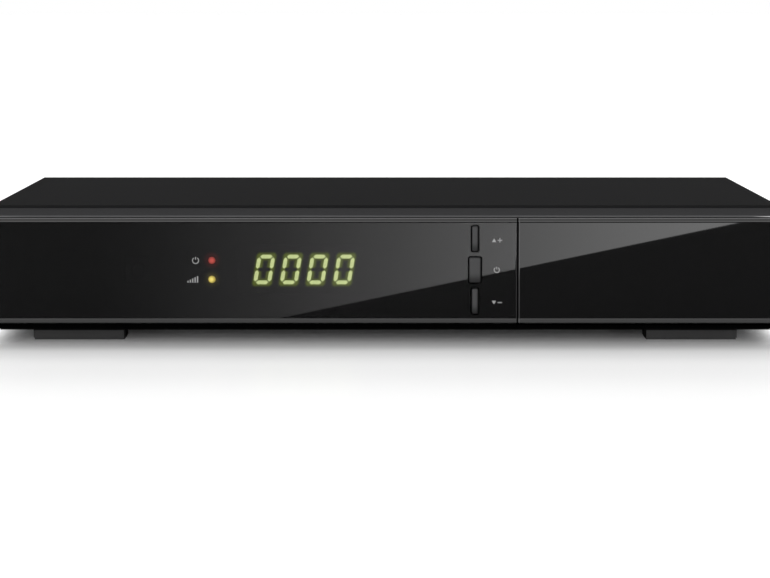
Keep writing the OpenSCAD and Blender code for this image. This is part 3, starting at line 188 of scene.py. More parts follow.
def makePowderCoat():
    f = Finish("satinPowderCoat")
    k = powderCoat
    fine = f.noise(k["grain"], 2.0)
    broad = f.noise(14, 3.0)
    colour = f.mix(broad, shade(k["colour"], 0.93), shade(k["colour"], 1.07))
    low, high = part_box("top_cover")
    start, end = k["edgeBlend"]  # painted light: the cut front edge of the sheet is painted paler, most of all low down
    edge = f.mix(f.z.ease(high.z - start, high.z - end), shade(k["colour"], k["cutEdgeLowLight"]),
                 shade(k["colour"], k["cutEdgeLight"]))
    colour = f.mix(f.y < low.y + k["cutDepth"], colour, edge)
    return f.surface(color=colour, roughness=k["roughness"] + (fine - 0.5) * 0.08 + (broad - 0.5) * 0.06,
                     specular=k["specular"], normal=f.bump(fine, 0.00006, 0.35))


zincSheet = {"colour": (0.56, 0.57, 0.58), "flower": 170, "roughness": 0.38}


def makeZincSheet():
    f = Finish("zincSheet")
    flower = f.cells(zincSheet["flower"], "F1", "Color")
    tone = f.node("ShaderNodeRGBToBW", {}, {0: flower})
    drawn = f.noise(60, 4.0, 0.6, (1, 18, 1))
    colour = f.mix(tone, shade(zincSheet["colour"], 0.93), shade(zincSheet["colour"], 1.05))
    rough = zincSheet["roughness"] + (tone - 0.5) * 0.14 + (drawn - 0.5) * 0.12
    return f.surface(color=colour, metallic=1.0, roughness=rough, normal=f.bump(drawn, 0.00003, 0.4))


def makeMoulding(name, colour, roughness=0.5, grain=2600, specular=0.4, contrast=0.08):
    f = Finish(name)
    fine = f.noise(grain, 2.0)
    flow = f.noise(35, 3.0, 0.55, (1, 2.2, 1))
    tone = f.mix(flow, shade(colour, 1 - contrast), shade(colour, 1 + contrast))
    return f.surface(color=tone, roughness=roughness + (flow - 0.5) * 0.12 + (fine - 0.5) * 0.1, specular=specular,
                     normal=f.bump(fine, 0.00004, 0.3))


footLook = {"colour": (0.123, 0.123, 0.123), "shadeFrom": 3 * mm, "shadeFull": 3.2 * mm, "innerEndShade": 0.35 * mm}


def makeFootRubber():  # pale grey pads, with painted shade under the chassis and at their inner ends
    f = Finish("footRubber")
    k = footLook
    fine = f.noise(1400, 2.0)
    blotch = f.noise(60, 3.0, 0.6)
    tone = f.mix(blotch, shade(k["colour"], 0.88), shade(k["colour"], 1.12))
    # painted shade: a near-black band at the top of each pad and along its inner end
    innerShade = f.x.absolute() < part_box("foot_front_right")[0].x + k["innerEndShade"]
    tone = f.mix(f.z.ease(k["shadeFrom"], k["shadeFull"]).higher(innerShade), tone, shade(k["colour"], 0.05))
    return f.surface(color=tone, roughness=0.8 + (fine - 0.5) * 0.12, specular=0.2, normal=f.bump(fine, 0.00004, 0.3))


panelLow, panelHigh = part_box("front_lens")
faceY = panelLow.y
bevelTop, bevelBottom, bevelDepth = 1.165 * mm, 1.7 * mm, 0.8 * mm
glossPanel = {"colour": (0.0142, 0.0142, 0.0144), "roughness": 0.012, "ior": 1.6, "clear": 0.88,
              "slope": (0.24 * mm, 0.3 * mm), "slopePaintedShade": 0.5,
              "rim": (0.2 * mm, 0.1 * mm), "rimHighlight": (0.2, 0.2, 0.202),
              "crease": 0.09 * mm, "creaseBlend": (0.04 * mm, 0.15 * mm), "creaseHighlight": (0.085, 0.085, 0.086),
              "lowCrease": 0.2 * mm, "lowCreaseBlend": (0.1 * mm, 0.24 * mm), "lowCreaseHighlightShare": 0.35,
              "foot": (0.25 * mm, 0.45 * mm), "bottomEdgeLight": (0.04, 0.04, 0.041)}


def makeGlossPanel(name, clear, lighter=None):
    f = Finish(name)
    k = glossPanel
    wipe = f.noise(26, 3.0, 0.6, (1, 1, 2.5))
    dust = f.cells(1900)
    speck = 1 - dust.ease(0.02, 0.09)
    base = lighter or shade(k["colour"], 1 / (1 - clear))
    colour = f.mix(wipe, shade(base, 0.97), shade(base, 1.03))
    if not clear:  # painted highlights along the top edge and the creases of the bevels, painted shade on the upper bevel, painted light along the bottom edge
        slopeEnd = panelHigh.z - bevelTop
        rim = f.z.ease(*(panelHigh.z - v for v in k["rim"]))
        crease = 1 - (f.z - (slopeEnd + k["crease"])).absolute().ease(*k["creaseBlend"])
        lowCrease = 1 - (f.z - (panelLow.z + bevelBottom - k["lowCrease"])).absolute().ease(*k["lowCreaseBlend"])
        colour = f.mix(f.z.ease(*(slopeEnd + v for v in k["slope"])), colour, shade(base, k["slopePaintedShade"]))
        colour = f.mix(crease.higher(lowCrease * k["lowCreaseHighlightShare"]), colour, k["creaseHighlight"])
        colour = f.mix(rim, colour, k["rimHighlight"])
        colour = f.mix(f.z.ease(*(panelLow.z + v for v in k["foot"])), k["bottomEdgeLight"], colour)
    rough = k["roughness"] + (wipe - 0.5).absolute() * 0.012 + speck * 0.006
    return f.surface(color=colour, roughness=rough, ior=k["ior"], transmission=clear)


framePlastic = {"colour": (0.0262, 0.0262, 0.0272), "underPanelShade": (0.0007, 0.0007, 0.0008), "roughness": 0.82,
                "specular": 0.03, "backLight": 1.2, "backDepth": 3 * mm, "nose": (0.13, 0.13, 0.132),
                "noseDrop": 1.65 * mm, "noseBlend": (0.5 * mm, 0.38 * mm), "noseDepth": 1.8 * mm,
                "noseEnds": (7.5, 0.7), "rightEnd": (119 * mm, 126 * mm), "leftEnd": (117 * mm, 126 * mm),
                "gleamDrop": 0.27 * mm, "gleamBlend": (0.02 * mm, 0.15 * mm)}
lampGlow = {"power_lamp": (0.55, 0.05, 0.04), "signal_lamp": (0.35, 0.3, 0.05), "start": 0.9 * mm, "reach": 2.75 * mm}


def middle(name):
    low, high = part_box(name)
    return (low + high) / 2


def makeFramePlastic():
    f = Finish("frameMoulding")
    k = framePlastic
    fine = f.noise(2600, 2.0)
    flow = f.noise(30, 3.0, 0.55, (1, 3, 3))
    tone = f.mix(flow, shade(k["colour"], 0.94), shade(k["colour"], 1.06))
    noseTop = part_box("front_frame")[1].z - k["noseDrop"]
    atNose = f.z.ease(*(noseTop - v for v in k["noseBlend"])) * (f.z < noseTop + 0.03 * mm)
    atNose = atNose * (f.y < faceY + k["noseDepth"])
    # painted light on the top towards its back edge, against the shade of the cover's step
    back = ((f.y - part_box("top_cover")[0].y) / k["backDepth"] + 1).higher(0.0).lower(1.0)
    onTop = f.z > noseTop - 0.1 * mm
    tone = f.mix(back * back * onTop, tone, shade(k["colour"], 1 + k["backLight"]))
    right, left = k["noseEnds"]  # the painted highlight on the rounded nose is brighter towards its two ends
    gleam = f.x.ease(*k["rightEnd"]) * right + (f.x * -1).ease(*k["leftEnd"]) * left
    # painted highlight along the rounded nose
    tone = f.mix(atNose, tone, k["nose"])
    thin = atNose * (1 - (f.z - (noseTop - k["gleamDrop"])).absolute().ease(*k["gleamBlend"]))
    tone = f.mix(thin * gleam / right, tone, shade(k["nose"], 1 + right))
    # painted shade: the lip below the panel is made near-black
    tone = f.mix(f.z < panelLow.z + 0.1 * mm, tone, k["underPanelShade"])
    glow = (0.0, 0.0, 0.0)
    for name in ("power_lamp", "signal_lamp"):  # painted glow: the light of the lamps painted as emission on the wall behind the panel
        near = 1 - f.distance(middle(name)).ease(lampGlow["start"], lampGlow["start"] + lampGlow["reach"])
        glow = f.mix(near.power(2) * (f.y < faceY + 4 * mm), glow, lampGlow[name])
    return f.surface(color=tone, roughness=k["roughness"] + (flow - 0.5) * 0.1 + (fine - 0.5) * 0.08,
                     specular=k["specular"], normal=f.bump(fine, 0.00004, 0.3), glow=glow, glowStrength=1.0)


keyPlastic = {"colour": (0.105, 0.105, 0.107), "shaded": 0.34, "roughness": 0.4, "specular": 0.2,
              "flangeSide": 1.2 * mm, "flangeEnd": 0.6 * mm, "rightShadeWidth": 0.6 * mm, "leftShadeWidth": 0.14 * mm}


def makeKeyPlastic(name):  # satin cap with painted shade at its right side, its left edge and towards its lower end
    f = Finish(name + "Moulding")
    k = keyPlastic
    low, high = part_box(name)
    left, right = low.x + k["flangeSide"], high.x - k["flangeSide"]
    bottom, top = low.z + k["flangeEnd"], high.z - k["flangeEnd"]
    fine = f.noise(3000, 2.0)
    height = (f.z - bottom) / (top - bottom)
    light = k["shaded"] + (1 - k["shaded"]) * height.ease(0.03, 0.42)
    light = light * (0.25 + 0.75 * (right - f.x).ease(0.0, k["rightShadeWidth"]))
    light = light * (0.4 + 0.6 * (f.x - left).ease(0.0, k["leftShadeWidth"]))
    # painted shade: what lies behind the panel's face is made near-black
    inFront = f.y < faceY + 0.2 * mm
    tone = f.mix(light * (0.96 + fine * 0.08) * inFront, (0.001, 0.001, 0.001), k["colour"])
    return f.surface(color=tone, roughness=k["roughness"] + (fine - 0.5) * 0.1, specular=k["specular"],
                     normal=f.bump(fine, 0.00003, 0.25))


displayGlow = {"colour": (0.6, 0.78, 0.04), "strength": 1.4, "reach": 1.4 * mm, "slant": math.tan(math.radians(9.5)),
               "pitch": 8.7 * mm, "bar": 1.25 * mm}


def makeDisplayCase():  # black case with a soft green glow painted as emission round the bars set in it
    f = Finish("displayCase")
    k = displayGlow
    low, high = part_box("display_lit_bars")
    centre = (low + high) / 2
    half = (high.z - low.z) / 2
    wide = ((high.x - low.x) - 3 * k["pitch"] - 2 * half * k["slant"]) / 2
    z = f.z - centre.z
    x = f.x - centre.x - z * k["slant"]
    column = f.node("ShaderNodeMath", {"operation": "FLOOR"}, {0: (x / k["pitch"] + 2).higher(0.0).lower(3.999)})
    inDigit = (x - (column - 1.5) * k["pitch"]).absolute()
    outX = inDigit - (wide - k["bar"] / 2)
    outZ = z.absolute() - (half - k["bar"] / 2)
    outside = (outX.higher(0.0).power(2) + outZ.higher(0.0).power(2)).power(0.5)
    away = (outside + outX.higher(outZ).lower(0.0)).absolute()
    near = 1 - (away - k["bar"] / 2).ease(0.0, k["reach"])
    grain = f.noise(1500, 2.0)
    glow = f.mix(near.power(1.9) * (0.92 + grain * 0.16), (0, 0, 0), k["colour"])
    return f.surface(color=(0.008, 0.008, 0.008), roughness=0.5 + grain * 0.2, glow=glow, glowStrength=k["strength"])


def makeLamp(name, node, colour, glow, rim, aside=0.0):  # clear lens of a lamp, brightest over the chip inside
    f = Finish(name)
    cloud = f.noise(1600, 2.0)
    tone = f.mix(f.distance(middle(node), aside).ease(0.35 * mm, 1.05 * mm), glow, rim)
    return f.surface(color=f.mix(cloud, shade(colour, 0.9), colour), roughness=0.3 + cloud * 0.1, specular=0.3,
                     glow=tone, glowStrength=1.0)


def makeMetal(name, colour, roughness=0.25, drawn=(1, 1, 1), grain=300):
    f = Finish(name)
    streak = f.noise(grain, 3.0, 0.6, drawn)
    stain = f.noise(70, 3.0)
    tone = f.mix(stain, shade(colour, 0.9), shade(colour, 1.06))
    return f.surface(color=tone, metallic=1.0, roughness=roughness + (streak - 0.5) * 0.18 + (stain - 0.5) * 0.08,
                     normal=f.bump(streak, 0.00002, 0.35))


def makeLit(name, colour, glow, strength, spread=0.12):
    f = Finish(name)
    cloud = f.noise(900, 2.0)
    tone = f.mix(cloud, shade(glow, 1 - spread), shade(glow, 1 + spread))
    return f.surface(color=f.mix(cloud, shade(colour, 0.9), colour), roughness=0.35 + cloud * 0.1, glow=tone,
                     glowStrength=strength)


# Finishes of the boards: solder mask over tracks, with pads

boardLook = {"mask": (0.012, 0.085, 0.036), "track": (0.02, 0.13, 0.055), "pitch": 520,
             "bareTan": (0.36, 0.22, 0.085)}


def makeBoard(name, mask, track):
    f = Finish(name)
    across = ((f.x * boardLook["pitch"] * 2).wave() > 0.55)
    along = ((f.y * boardLook["pitch"] * 2).wave() > 0.55)
    zones = f.cells(70, "F1", "Color")
    pick = f.node("ShaderNodeRGBToBW", {}, {0: zones})
    tracks = across * (pick > 0.5) + along * (pick < 0.42)
    vias = 1 - f.cells(240).ease(0.1, 0.14)
    weave = (f.x * 9000).wave() * (f.y * 9000).wave()
    colour = f.mix(tracks.lower(1.0), mask, track)
    colour = f.mix(vias, colour, (0.5, 0.48, 0.4))
    return f.surface(color=colour, roughness=0.32 + weave * 0.03 + vias * 0.1, specular=0.5,
                     normal=f.bump(tracks + vias, 0.00005, 0.6))


def makeBareBoard():
    f = Finish("bareLaminate")
    fibre = f.noise(180, 4.0, 0.65, (1, 6, 1))
    colour = f.mix(fibre, shade(boardLook["bareTan"], 0.8), shade(boardLook["bareTan"], 1.15))
    return f.surface(color=colour, roughness=0.55 + (fibre - 0.5) * 0.2, normal=f.bump(fibre, 0.00004, 0.5))


def makeRibbon():
    f = Finish("flatCable")
    lines = (f.x * 2 * math.pi / 0.00127).wave()
    edge = (f.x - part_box("front_ribbon")[0].x) < 0.0027
    colour = f.mix(lines.ease(-0.6, 0.9), (0.40, 0.40, 0.39), (0.62, 0.62, 0.6))
    colour = f.mix(edge * (lines > 0.2), colour, (0.5, 0.06, 0.05))
    return f.surface(color=colour, roughness=0.5 + lines * 0.06, normal=f.bump(lines, 0.0003, 0.7))


print("finishes under way")

finishes = {
    "cover_steel": makePowderCoat(),
    "zinc_steel": makeZincSheet(),
    "frame_plastic": makeFramePlastic(),
    "panel_gloss": makeGlossPanel("glossPanel", 0.0),
    "carrier_plastic": makeMoulding("carrierMoulding", (0.03, 0.03, 0.032), 0.5),
    "foot_rubber": makeFootRubber(),
    "black_screws": makeMetal("blackZinc", (0.06, 0.06, 0.065), 0.42),
    "key_plastic": makeKeyPlastic("key_power"),
    "plunger_plastic": makeMoulding("ivoryNylon", (0.72, 0.66, 0.5), 0.5),
    "switch_plastic": makeMoulding("switchMoulding", (0.02, 0.02, 0.02), 0.45),
    "board_green": makeBoard("greenMask", boardLook["mask"], boardLook["track"]),
    "board_tan": makeBareBoard(),
    "plated_screws": makeMetal("brightZinc", (0.72, 0.72, 0.73), 0.26),
    "display_black": makeDisplayCase(),
    "lit_green": makeLit("litGreen", (0.4, 0.55, 0.2), (0.88, 1.0, 0.44), 6.7),
    "dark_bars": makeMoulding("darkBars", (0.03, 0.035, 0.02), 0.4),
    "lamp_red": makeLamp("redLamp", "power_lamp", (0.12, 0.02, 0.015), (0.44, 0.07, 0.055), (0.2, 0.025, 0.02)),
    "lamp_yellow": makeLamp("yellowLamp", "signal_lamp", (0.2, 0.15, 0.03), (0.76, 0.64, 0.16), (0.33, 0.26, 0.05),
                            -0.15 * mm),
    "receiver_dark": makeMoulding("receiverWindow", (0.02, 0.01, 0.025), 0.15),
    "ribbon_grey": makeRibbon(),
    "reader_black": makeMoulding("readerMoulding", (0.02, 0.02, 0.022), 0.5),
    "tin_plate": makeMetal("tinPlate", (0.68, 0.68, 0.68), 0.3, (1, 12, 1), 90),
    "tongue_white": makeMoulding("whiteNylon", (0.8, 0.8, 0.77), 0.45),
    "nickel": makeMetal("nickelPlate", (0.5, 0.485, 0.45), 0.24, (1, 8, 1), 200),
    "core_white": makeMoulding("whiteDielectric", (0.78, 0.76, 0.68), 0.5),
    "block_black": makeMoulding("blockMoulding", (0.02, 0.02, 0.022), 0.5),
    "insert_yellow": makeMoulding("yellowMoulding", (0.82, 0.56, 0.02), 0.3),
    "insert_white": makeMoulding("whiteMoulding", (0.8, 0.8, 0.79), 0.3),
    "insert_red": makeMoulding("redMoulding", (0.56, 0.02, 0.018), 0.3),
    "serial_blue": makeMoulding("blueMoulding", (0.018, 0.045, 0.18), 0.4),
    "chip_black": makeMoulding("chipEpoxy", (0.02, 0.02, 0.021), 0.55, 1800),
    "sink_black": makeMetal("blackAnodised", (0.05, 0.05, 0.055), 0.4, (1, 10, 1)),
    "can_blue": makeMoulding("canSleeve", (0.018, 0.02, 0.06), 0.25),
    "ferrite": makeMoulding("ferriteCore", (0.045, 0.045, 0.047), 0.65, 900, 0.4, 0.2),
    "sink_bright": makeMetal("plainAluminium", (0.68, 0.68, 0.7), 0.36, (1, 1, 14), 120),
    "copper_wire": makeMetal("enamelledWire", (0.6, 0.24, 0.09), 0.3),
    "lead_brown": makeMoulding("leadSleeve", (0.14, 0.06, 0.03), 0.45),
    "inlet_black": makeMoulding("inletMoulding", (0.014, 0.014, 0.014), 0.42),
    "contact_brass": makeMetal("platedBrass", (0.74, 0.62, 0.36), 0.22),
}

slots = {part["node"]: part["material_slot"] for part in frame["record"]["subparts"]}


def setFinish(thing, material):
    thing.data.materials.clear()
    thing.data.materials.append(material)


for name, thing in nodes.items():
    setFinish(thing, finishes[slots[name]])
for name in ("key_channel_up", "key_channel_down"):
    setFinish(nodes[name], makeKeyPlastic(name))
print("finishes made:", len(finishes))


# Meshes

def finishMesh(thing, name, slot, angle=35, material=None, body="root"):
    thing.name = name
    thing.data.name = name
    setFinish(thing, material or finishes[slot])
    thing.data.shade_smooth()
    thing.data.set_sharp_from_angle(angle=math.radians(angle))
    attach(thing, body)
    return thing


def meshThing(name, mesh):
    thing = bpy.data.objects.new(name, mesh)
    bpy.context.scene.collection.objects.link(thing)
    return thing


def bmeshThing(name, bm):
    bmesh.ops.remove_doubles(bm, verts=bm.verts, dist=1e-7)
    bmesh.ops.recalc_face_normals(bm, faces=bm.faces)
    mesh = bpy.data.meshes.new(name)
    bm.to_mesh(mesh)
    bm.free()
    return meshThing(name, mesh)


def plainCopy(thing):  # the object with its modifiers worked in
    depsgraph = bpy.context.evaluated_depsgraph_get()
    mesh = bpy.data.meshes.new_from_object(thing.evaluated_get(depsgraph), depsgraph=depsgraph)
    made = meshThing(thing.name + "Done", mesh)
    old = thing.name
    bpy.data.objects.remove(thing)
    made.name = old
    return made


def cut(thing, cutter):
    modifier = thing.modifiers.new("cut", "BOOLEAN")
    modifier.operation = "DIFFERENCE"
    modifier.solver = "EXACT"
    modifier.object = cutter
    made = plainCopy(thing)
    bpy.data.objects.remove(cutter)
    return made


def loft(bm, rings):  # closed rings of points, joined one after another and closed at both ends
    rows = [[bm.verts.new(p) for p in ring] for ring in rings]
    count = len(rows[0])
    for a, b in zip(rows, rows[1:]):
        for i in range(count):
            bm.faces.new((a[i], a[(i + 1) % count], b[(i + 1) % count], b[i]))
    bm.faces.new(rows[0])
    bm.faces.new(reversed(rows[-1]))


def prism(bm, outline, y0, y1):  # outline of (x, z) pushed along Y
    loft(bm, [[(x, y, z) for x, z in outline] for y in (y0, y1)])


def roundRect(x, z, w, h, r, steps=6):
    points = []
    for cx, cz, start in ((1, 1, 0), (-1, 1, 90), (-1, -1, 180), (1, -1, 270)):
        for i in range(steps + 1):
            a = math.radians(start + 90 * i / steps)
            points.append((x + cx * (w / 2 - r) + r * math.cos(a), z + cz * (h / 2 - r) + r * math.sin(a)))
    return points


def circle(x, z, r, steps=40):
    turns = (2 * math.pi * i / steps for i in range(steps))
    return [(x + r * math.cos(a), z + r * math.sin(a)) for a in turns]


# Front panel and the skin of the flap, with bevels that are rounded at their edges

panelLook = {"edgeRound": 0.28 * mm, "lowRound": 1.0 * mm, "seamRound": 0.2 * mm, "flapRound": 0.16 * mm,
             "endRound": 0.5 * mm, "litStrip": 0.27 * mm, "litEnd": (0.11, 0.11, 0.112), "backGap": 0.04 * mm,
             "holdingLoop": 0.4 * mm, "groove": 0.31 * mm, "grooveDepth": 0.1 * mm, "seamHighlight": 0.25 * mm,
             "endsFlat": 0.98, "sidesFlat": 0.5, "inset": 2 * mm}


def panelSection(depth):
    r = panelLook["edgeRound"]
    crease, groove = panelHigh.z - bevelTop, panelLook["groove"]
    points = [(faceY, panelLow.z + bevelBottom), (faceY, crease - groove)]
    points += [(faceY + panelLook["grooveDepth"], crease - groove * t) for t in (0.9, 0.1)] + [(faceY, crease)]
    edgeY = faceY + bevelDepth
    slopeTop = math.atan2(bevelDepth, bevelTop)
    for i in range(5):  # from the bevel's slope round to the flat top
        a = slopeTop + (math.pi / 2 - slopeTop) * i / 4
        points.append((edgeY + r * 0.75 - r * math.cos(a), panelHigh.z - r + r * math.sin(a)))
    points += [(faceY + depth, panelHigh.z), (faceY + depth, panelLow.z)]
    slopeLow, r = math.atan2(bevelDepth, bevelBottom), panelLook["lowRound"]
    meet = math.cos(slopeLow) - (1 - math.sin(slopeLow)) * math.tan(slopeLow)  # the round starts on the bevel's slope
    for i in range(9):
        a = math.pi / 2 - (math.pi / 2 - slopeLow) * i / 8
        points.append((edgeY + r * meet - r * math.cos(a), panelLow.z + r - r * math.sin(a)))
    return points


def panelMesh(name, x0, x1, depth, round0, round1):
    section = panelSection(depth)
    steps = 6
    hold = panelLook["holdingLoop"]  # keeps the wide face exactly flat to mirror the room
    stations = [(x0 + round0 * i / steps, round0, 1 - i / steps) for i in range(steps + 1)]
    stations += [(x0 + round0 + panelLook["litStrip"], round0, 0)]
    stations += [(x0 + round0 + hold, round0, 0), (x1 - round1 - hold, round1, 0)]
    stations += [(x1 - round1 * (steps - i) / steps, round1, i / steps) for i in range(steps + 1)]
    rings = []
    for x, r, t in stations:
        push = r * (1 - math.sqrt(max(0.0, 1 - t * t)))
        rings.append([(x, max(y, faceY + push) if y < faceY + depth - 1e-6 else y, z) for y, z in section])
    bm = bmesh.new()
    loft(bm, rings)
    return bmeshThing(name, bm)


keyLook = {"holeGap": 0.46 * mm, "corner": 0.9 * mm}
lampLook = {"radius": 1.15 * mm, "hole": 0.06 * mm}
panelSlots = {"smoked": 0, "gloss": 1, "holeWallShade": 2, "groove": 3, "seamHighlight": 4}
skinSlots = {"gloss": 0, "litEnd": 1, "groove": 2}
# painted shade: the groove under the top bevel is made near-black
dullGroove = makeMoulding("dullGroove", (0.006, 0.006, 0.006), 0.6, specular=0.1)


def panelHoles():  # round the keys and the lamps
    bm = bmesh.new()
    y0, y1 = faceY - mm, panelHigh.y + mm
    for name in ("key_channel_up", "key_power", "key_channel_down"):
        low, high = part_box(name)
        mid = (low + high) / 2
        width = high.x - low.x - 2 * keyPlastic["flangeSide"] + 2 * keyLook["holeGap"]
        height = high.z - low.z - 2 * keyPlastic["flangeEnd"] + 2 * keyLook["holeGap"]
        prism(bm, roundRect(mid.x, mid.z, width, height, keyLook["corner"]), y0, y1)
    for name in ("power_lamp", "signal_lamp"):
        mid = middle(name)
        prism(bm, circle(mid.x, mid.z, lampLook["radius"] + lampLook["hole"]), y0, y1)
    return bmeshThing("holes", bm)


def paintGroove(thing, slot):
    crease = panelHigh.z - bevelTop
    for face in thing.data.polygons:
        x, y, z = face.center
        if crease - panelLook["groove"] < z < crease and faceY + 0.01 * mm < y < faceY + 0.3 * mm:
            face.material_index = slot


def makeLens():
    k = panelLook
    depth = panelHigh.y - faceY - k["backGap"]
    lens = panelMesh("frontLens", panelLow.x, panelHigh.x, depth, k["endRound"], k["seamRound"])
    lens = cut(lens, panelHoles())
    finishMesh(lens, "frontLens", "panel_gloss", 25, makeGlossPanel("smokedPanel", glossPanel["clear"]))
    # painted shade: the walls of the holes round the keys and lamps are made near-black
    holeWallShade = makeMoulding("paintedEdge", (0.0015, 0.0015, 0.0015), 0.8, specular=0.05)
    seamHighlight = makeMoulding("polishedEnd", (0.075, 0.075, 0.076), 0.35, specular=0.2)
    for material in (finishes["panel_gloss"], holeWallShade, dullGroove, seamHighlight):
        lens.data.materials.append(material)
    for face in lens.data.polygons:
        x, y, z = face.center
        steep = abs(face.normal.y)
        level = panelLow.z + k["inset"] < z < panelHigh.z - k["inset"]
        if steep < k["endsFlat"] and y < faceY + bevelDepth + 0.3 * mm and not level:
            face.material_index = panelSlots["gloss"]
        elif steep < k["sidesFlat"] and level and panelLow.x + mm < x < panelHigh.x - mm:
            face.material_index = panelSlots["holeWallShade"]
        # painted highlight on the rounded edge of the lens at the seam
        if x > panelHigh.x - k["seamHighlight"] and y < faceY + k["seamHighlight"]:
            face.material_index = panelSlots["seamHighlight"]
    paintGroove(lens, panelSlots["groove"])
    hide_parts("front_lens")


def makeSkin():
    k = panelLook
    low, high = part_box("flap_skin")
    skin = panelMesh("flapSkin", low.x, high.x, high.y - faceY, k["flapRound"], k["endRound"])
    finishMesh(skin, "flapSkin", "panel_gloss", 25, body="flap")
    for material in (makeGlossPanel("litEnd", 0.0, k["litEnd"]), dullGroove):
        skin.data.materials.append(material)
    paintGroove(skin, skinSlots["groove"])
    # painted highlight: a paler strip on the rounded left end of the flap, at the seam
    for face in skin.data.polygons:
        x = face.center.x - low.x - k["flapRound"]
        if 0 < x < k["litStrip"] and face.center.y < faceY + bevelDepth + 0.3 * mm:
            face.material_index = skinSlots["litEnd"]
    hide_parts("flap_skin")


makeLens()
makeSkin()
print("panel and flap skin made")


# Printed marks on the panel: plain symbols only

markLook = {"proud": 0.015 * mm, "sunk": 0.004 * mm, "colour": (0.56, 0.56, 0.56), "line": 0.27 * mm,
            "lampGap": 5.3 * mm, "lampSize": 1.0 * mm, "keyGap": 7.1 * mm, "keySize": 0.85 * mm,
            "bars": 5, "barStart": 7.8 * mm, "barStep": 0.78 * mm, "barWidth": 0.42 * mm, "barLow": 0.6 * mm,
            "barGrowth": 0.38 * mm, "barFoot": 1.05 * mm, "signGap": 8.1 * mm, "signWidth": 1.5 * mm,
            "signArm": 0.66 * mm, "signDrop": 0.5 * mm, "signHalf": 0.42 * mm, "signLine": 1.1,
            "arrowGap": 6.2 * mm, "arrowHalf": 0.72 * mm, "arrowTip": 0.62 * mm}


def ring(bm, x, z, r, line, start, end, y0, y1, steps=28):
    for i in range(steps):
        a0 = math.radians(start + (end - start) * i / steps)
        a1 = math.radians(start + (end - start) * (i + 1) / steps)
        quad = [(x + q * math.cos(a), z + q * math.sin(a)) for q, a in
                ((r - line / 2, a0), (r + line / 2, a0), (r + line / 2, a1), (r - line / 2, a1))]
        prism(bm, quad, y0, y1)


def bar(bm, x, z, w, h, y0, y1):
    corners = ((-1, -1), (1, -1), (1, 1), (-1, 1))
    prism(bm, [(x + i * w / 2, z + j * h / 2) for i, j in corners], y0, y1)


def powerSymbol(bm, x, z, r, line, y0, y1):
    ring(bm, x, z, r, line, 125, 415, y0, y1)
    bar(bm, x, z + r * 0.72, line, r * 0.95, y0, y1)


def makeMarks():
    k = markLook
    line, signLine = k["line"], k["line"] * k["signLine"]
    y0, y1 = faceY - k["proud"], faceY + k["sunk"]
    bm = bmesh.new()
    lamp, signal, key = middle("power_lamp"), middle("signal_lamp"), middle("key_power")
    powerSymbol(bm, lamp.x - k["lampGap"], lamp.z, k["lampSize"], line, y0, y1)
    for i in range(k["bars"]):  # rising bars for signal strength
        h = k["barLow"] + k["barGrowth"] * i
        bar(bm, lamp.x - k["barStart"] + k["barStep"] * i, signal.z - k["barFoot"] + h / 2, k["barWidth"], h, y0, y1)
    for name, sign in (("key_channel_up", 1), ("key_channel_down", -1)):  # plus or minus sign, and an arrow head
        z = middle(name).z - k["signDrop"]
        bar(bm, key.x + k["signGap"], z, k["signWidth"], signLine, y0, y1)
        if sign > 0:
            for half in (k["signHalf"], -k["signHalf"]):
                bar(bm, key.x + k["signGap"], z + half, signLine, k["signArm"], y0, y1)
        x, tip = key.x + k["arrowGap"], sign * k["arrowTip"]
        prism(bm, [(x - k["arrowHalf"], z - tip), (x + k["arrowHalf"], z - tip), (x, z + tip)], y0, y1)
    powerSymbol(bm, key.x + k["keyGap"], key.z, k["keySize"], line, y0, y1)
    marks = bmeshThing("panelMarks", bm)
    ink = makeMoulding("greyInk", k["colour"], 0.6, 4000, 0.3, 0.1)
    finishMesh(marks, "panelMarks", "panel_gloss", 25, ink)


makeMarks()
print("marks printed")


# Geometry Nodes for what repeats: one shape set along rows, or turned round an axis

class Plan:
    node = Finish.node

    def __init__(self, name, inputs):
        self.tree = bpy.data.node_groups.new(name, "GeometryNodeTree")
        self.values = {}
        kinds = {int: "NodeSocketInt", float: "NodeSocketFloat", tuple: "NodeSocketVector"}
        self.tree.interface.new_socket("Shape", in_out="INPUT", socket_type="NodeSocketGeometry")
        for label, value in inputs.items():
            socket = self.tree.interface.new_socket(label, in_out="INPUT", socket_type=kinds[type(value)])
            self.values[socket.identifier] = value
        self.tree.interface.new_socket("Geometry", in_out="OUTPUT", socket_type="NodeSocketGeometry")
        self.entry = self.tree.nodes.new("NodeGroupInput")

    def input(self, label):
        return Wire(self, self.entry.outputs[label])

    def make(self, thing, geometry, material):
        real = self.node("GeometryNodeRealizeInstances", {}, {"Geometry": geometry})
        done = self.node("GeometryNodeSetMaterial", {}, {"Geometry": real})
        done.socket.node.inputs["Material"].default_value = material
        end = self.tree.nodes.new("NodeGroupOutput")
        self.tree.links.new(done.socket, end.inputs[0])
        modifier = thing.modifiers.new("repeat", "NODES")
        modifier.node_group = self.tree
        for identifier, value in self.values.items():
            modifier[identifier] = value
        return plainCopy(thing)


def repeatAlong(thing, material, count, step, rows=1, rowStep=(0.0, 0.0, 0.0)):
    plan = Plan("repeatAlong", {"Count": count, "Step": step, "Rows": rows, "Row Step": rowStep})
    first = plan.node("GeometryNodeMeshLine", {}, {"Count": plan.input("Count"), "Offset": plan.input("Step")})
    second = plan.node("GeometryNodeMeshLine", {}, {"Count": plan.input("Rows"), "Offset": plan.input("Row Step")})
    grid = plan.node("GeometryNodeInstanceOnPoints", {}, {"Points": second, "Instance": first})
    flat = plan.node("GeometryNodeRealizeInstances", {}, {"Geometry": grid})
    spread = plan.node("GeometryNodeInstanceOnPoints", {}, {"Points": flat, "Instance": plan.input("Shape")})
    return plan.make(thing, spread, material)


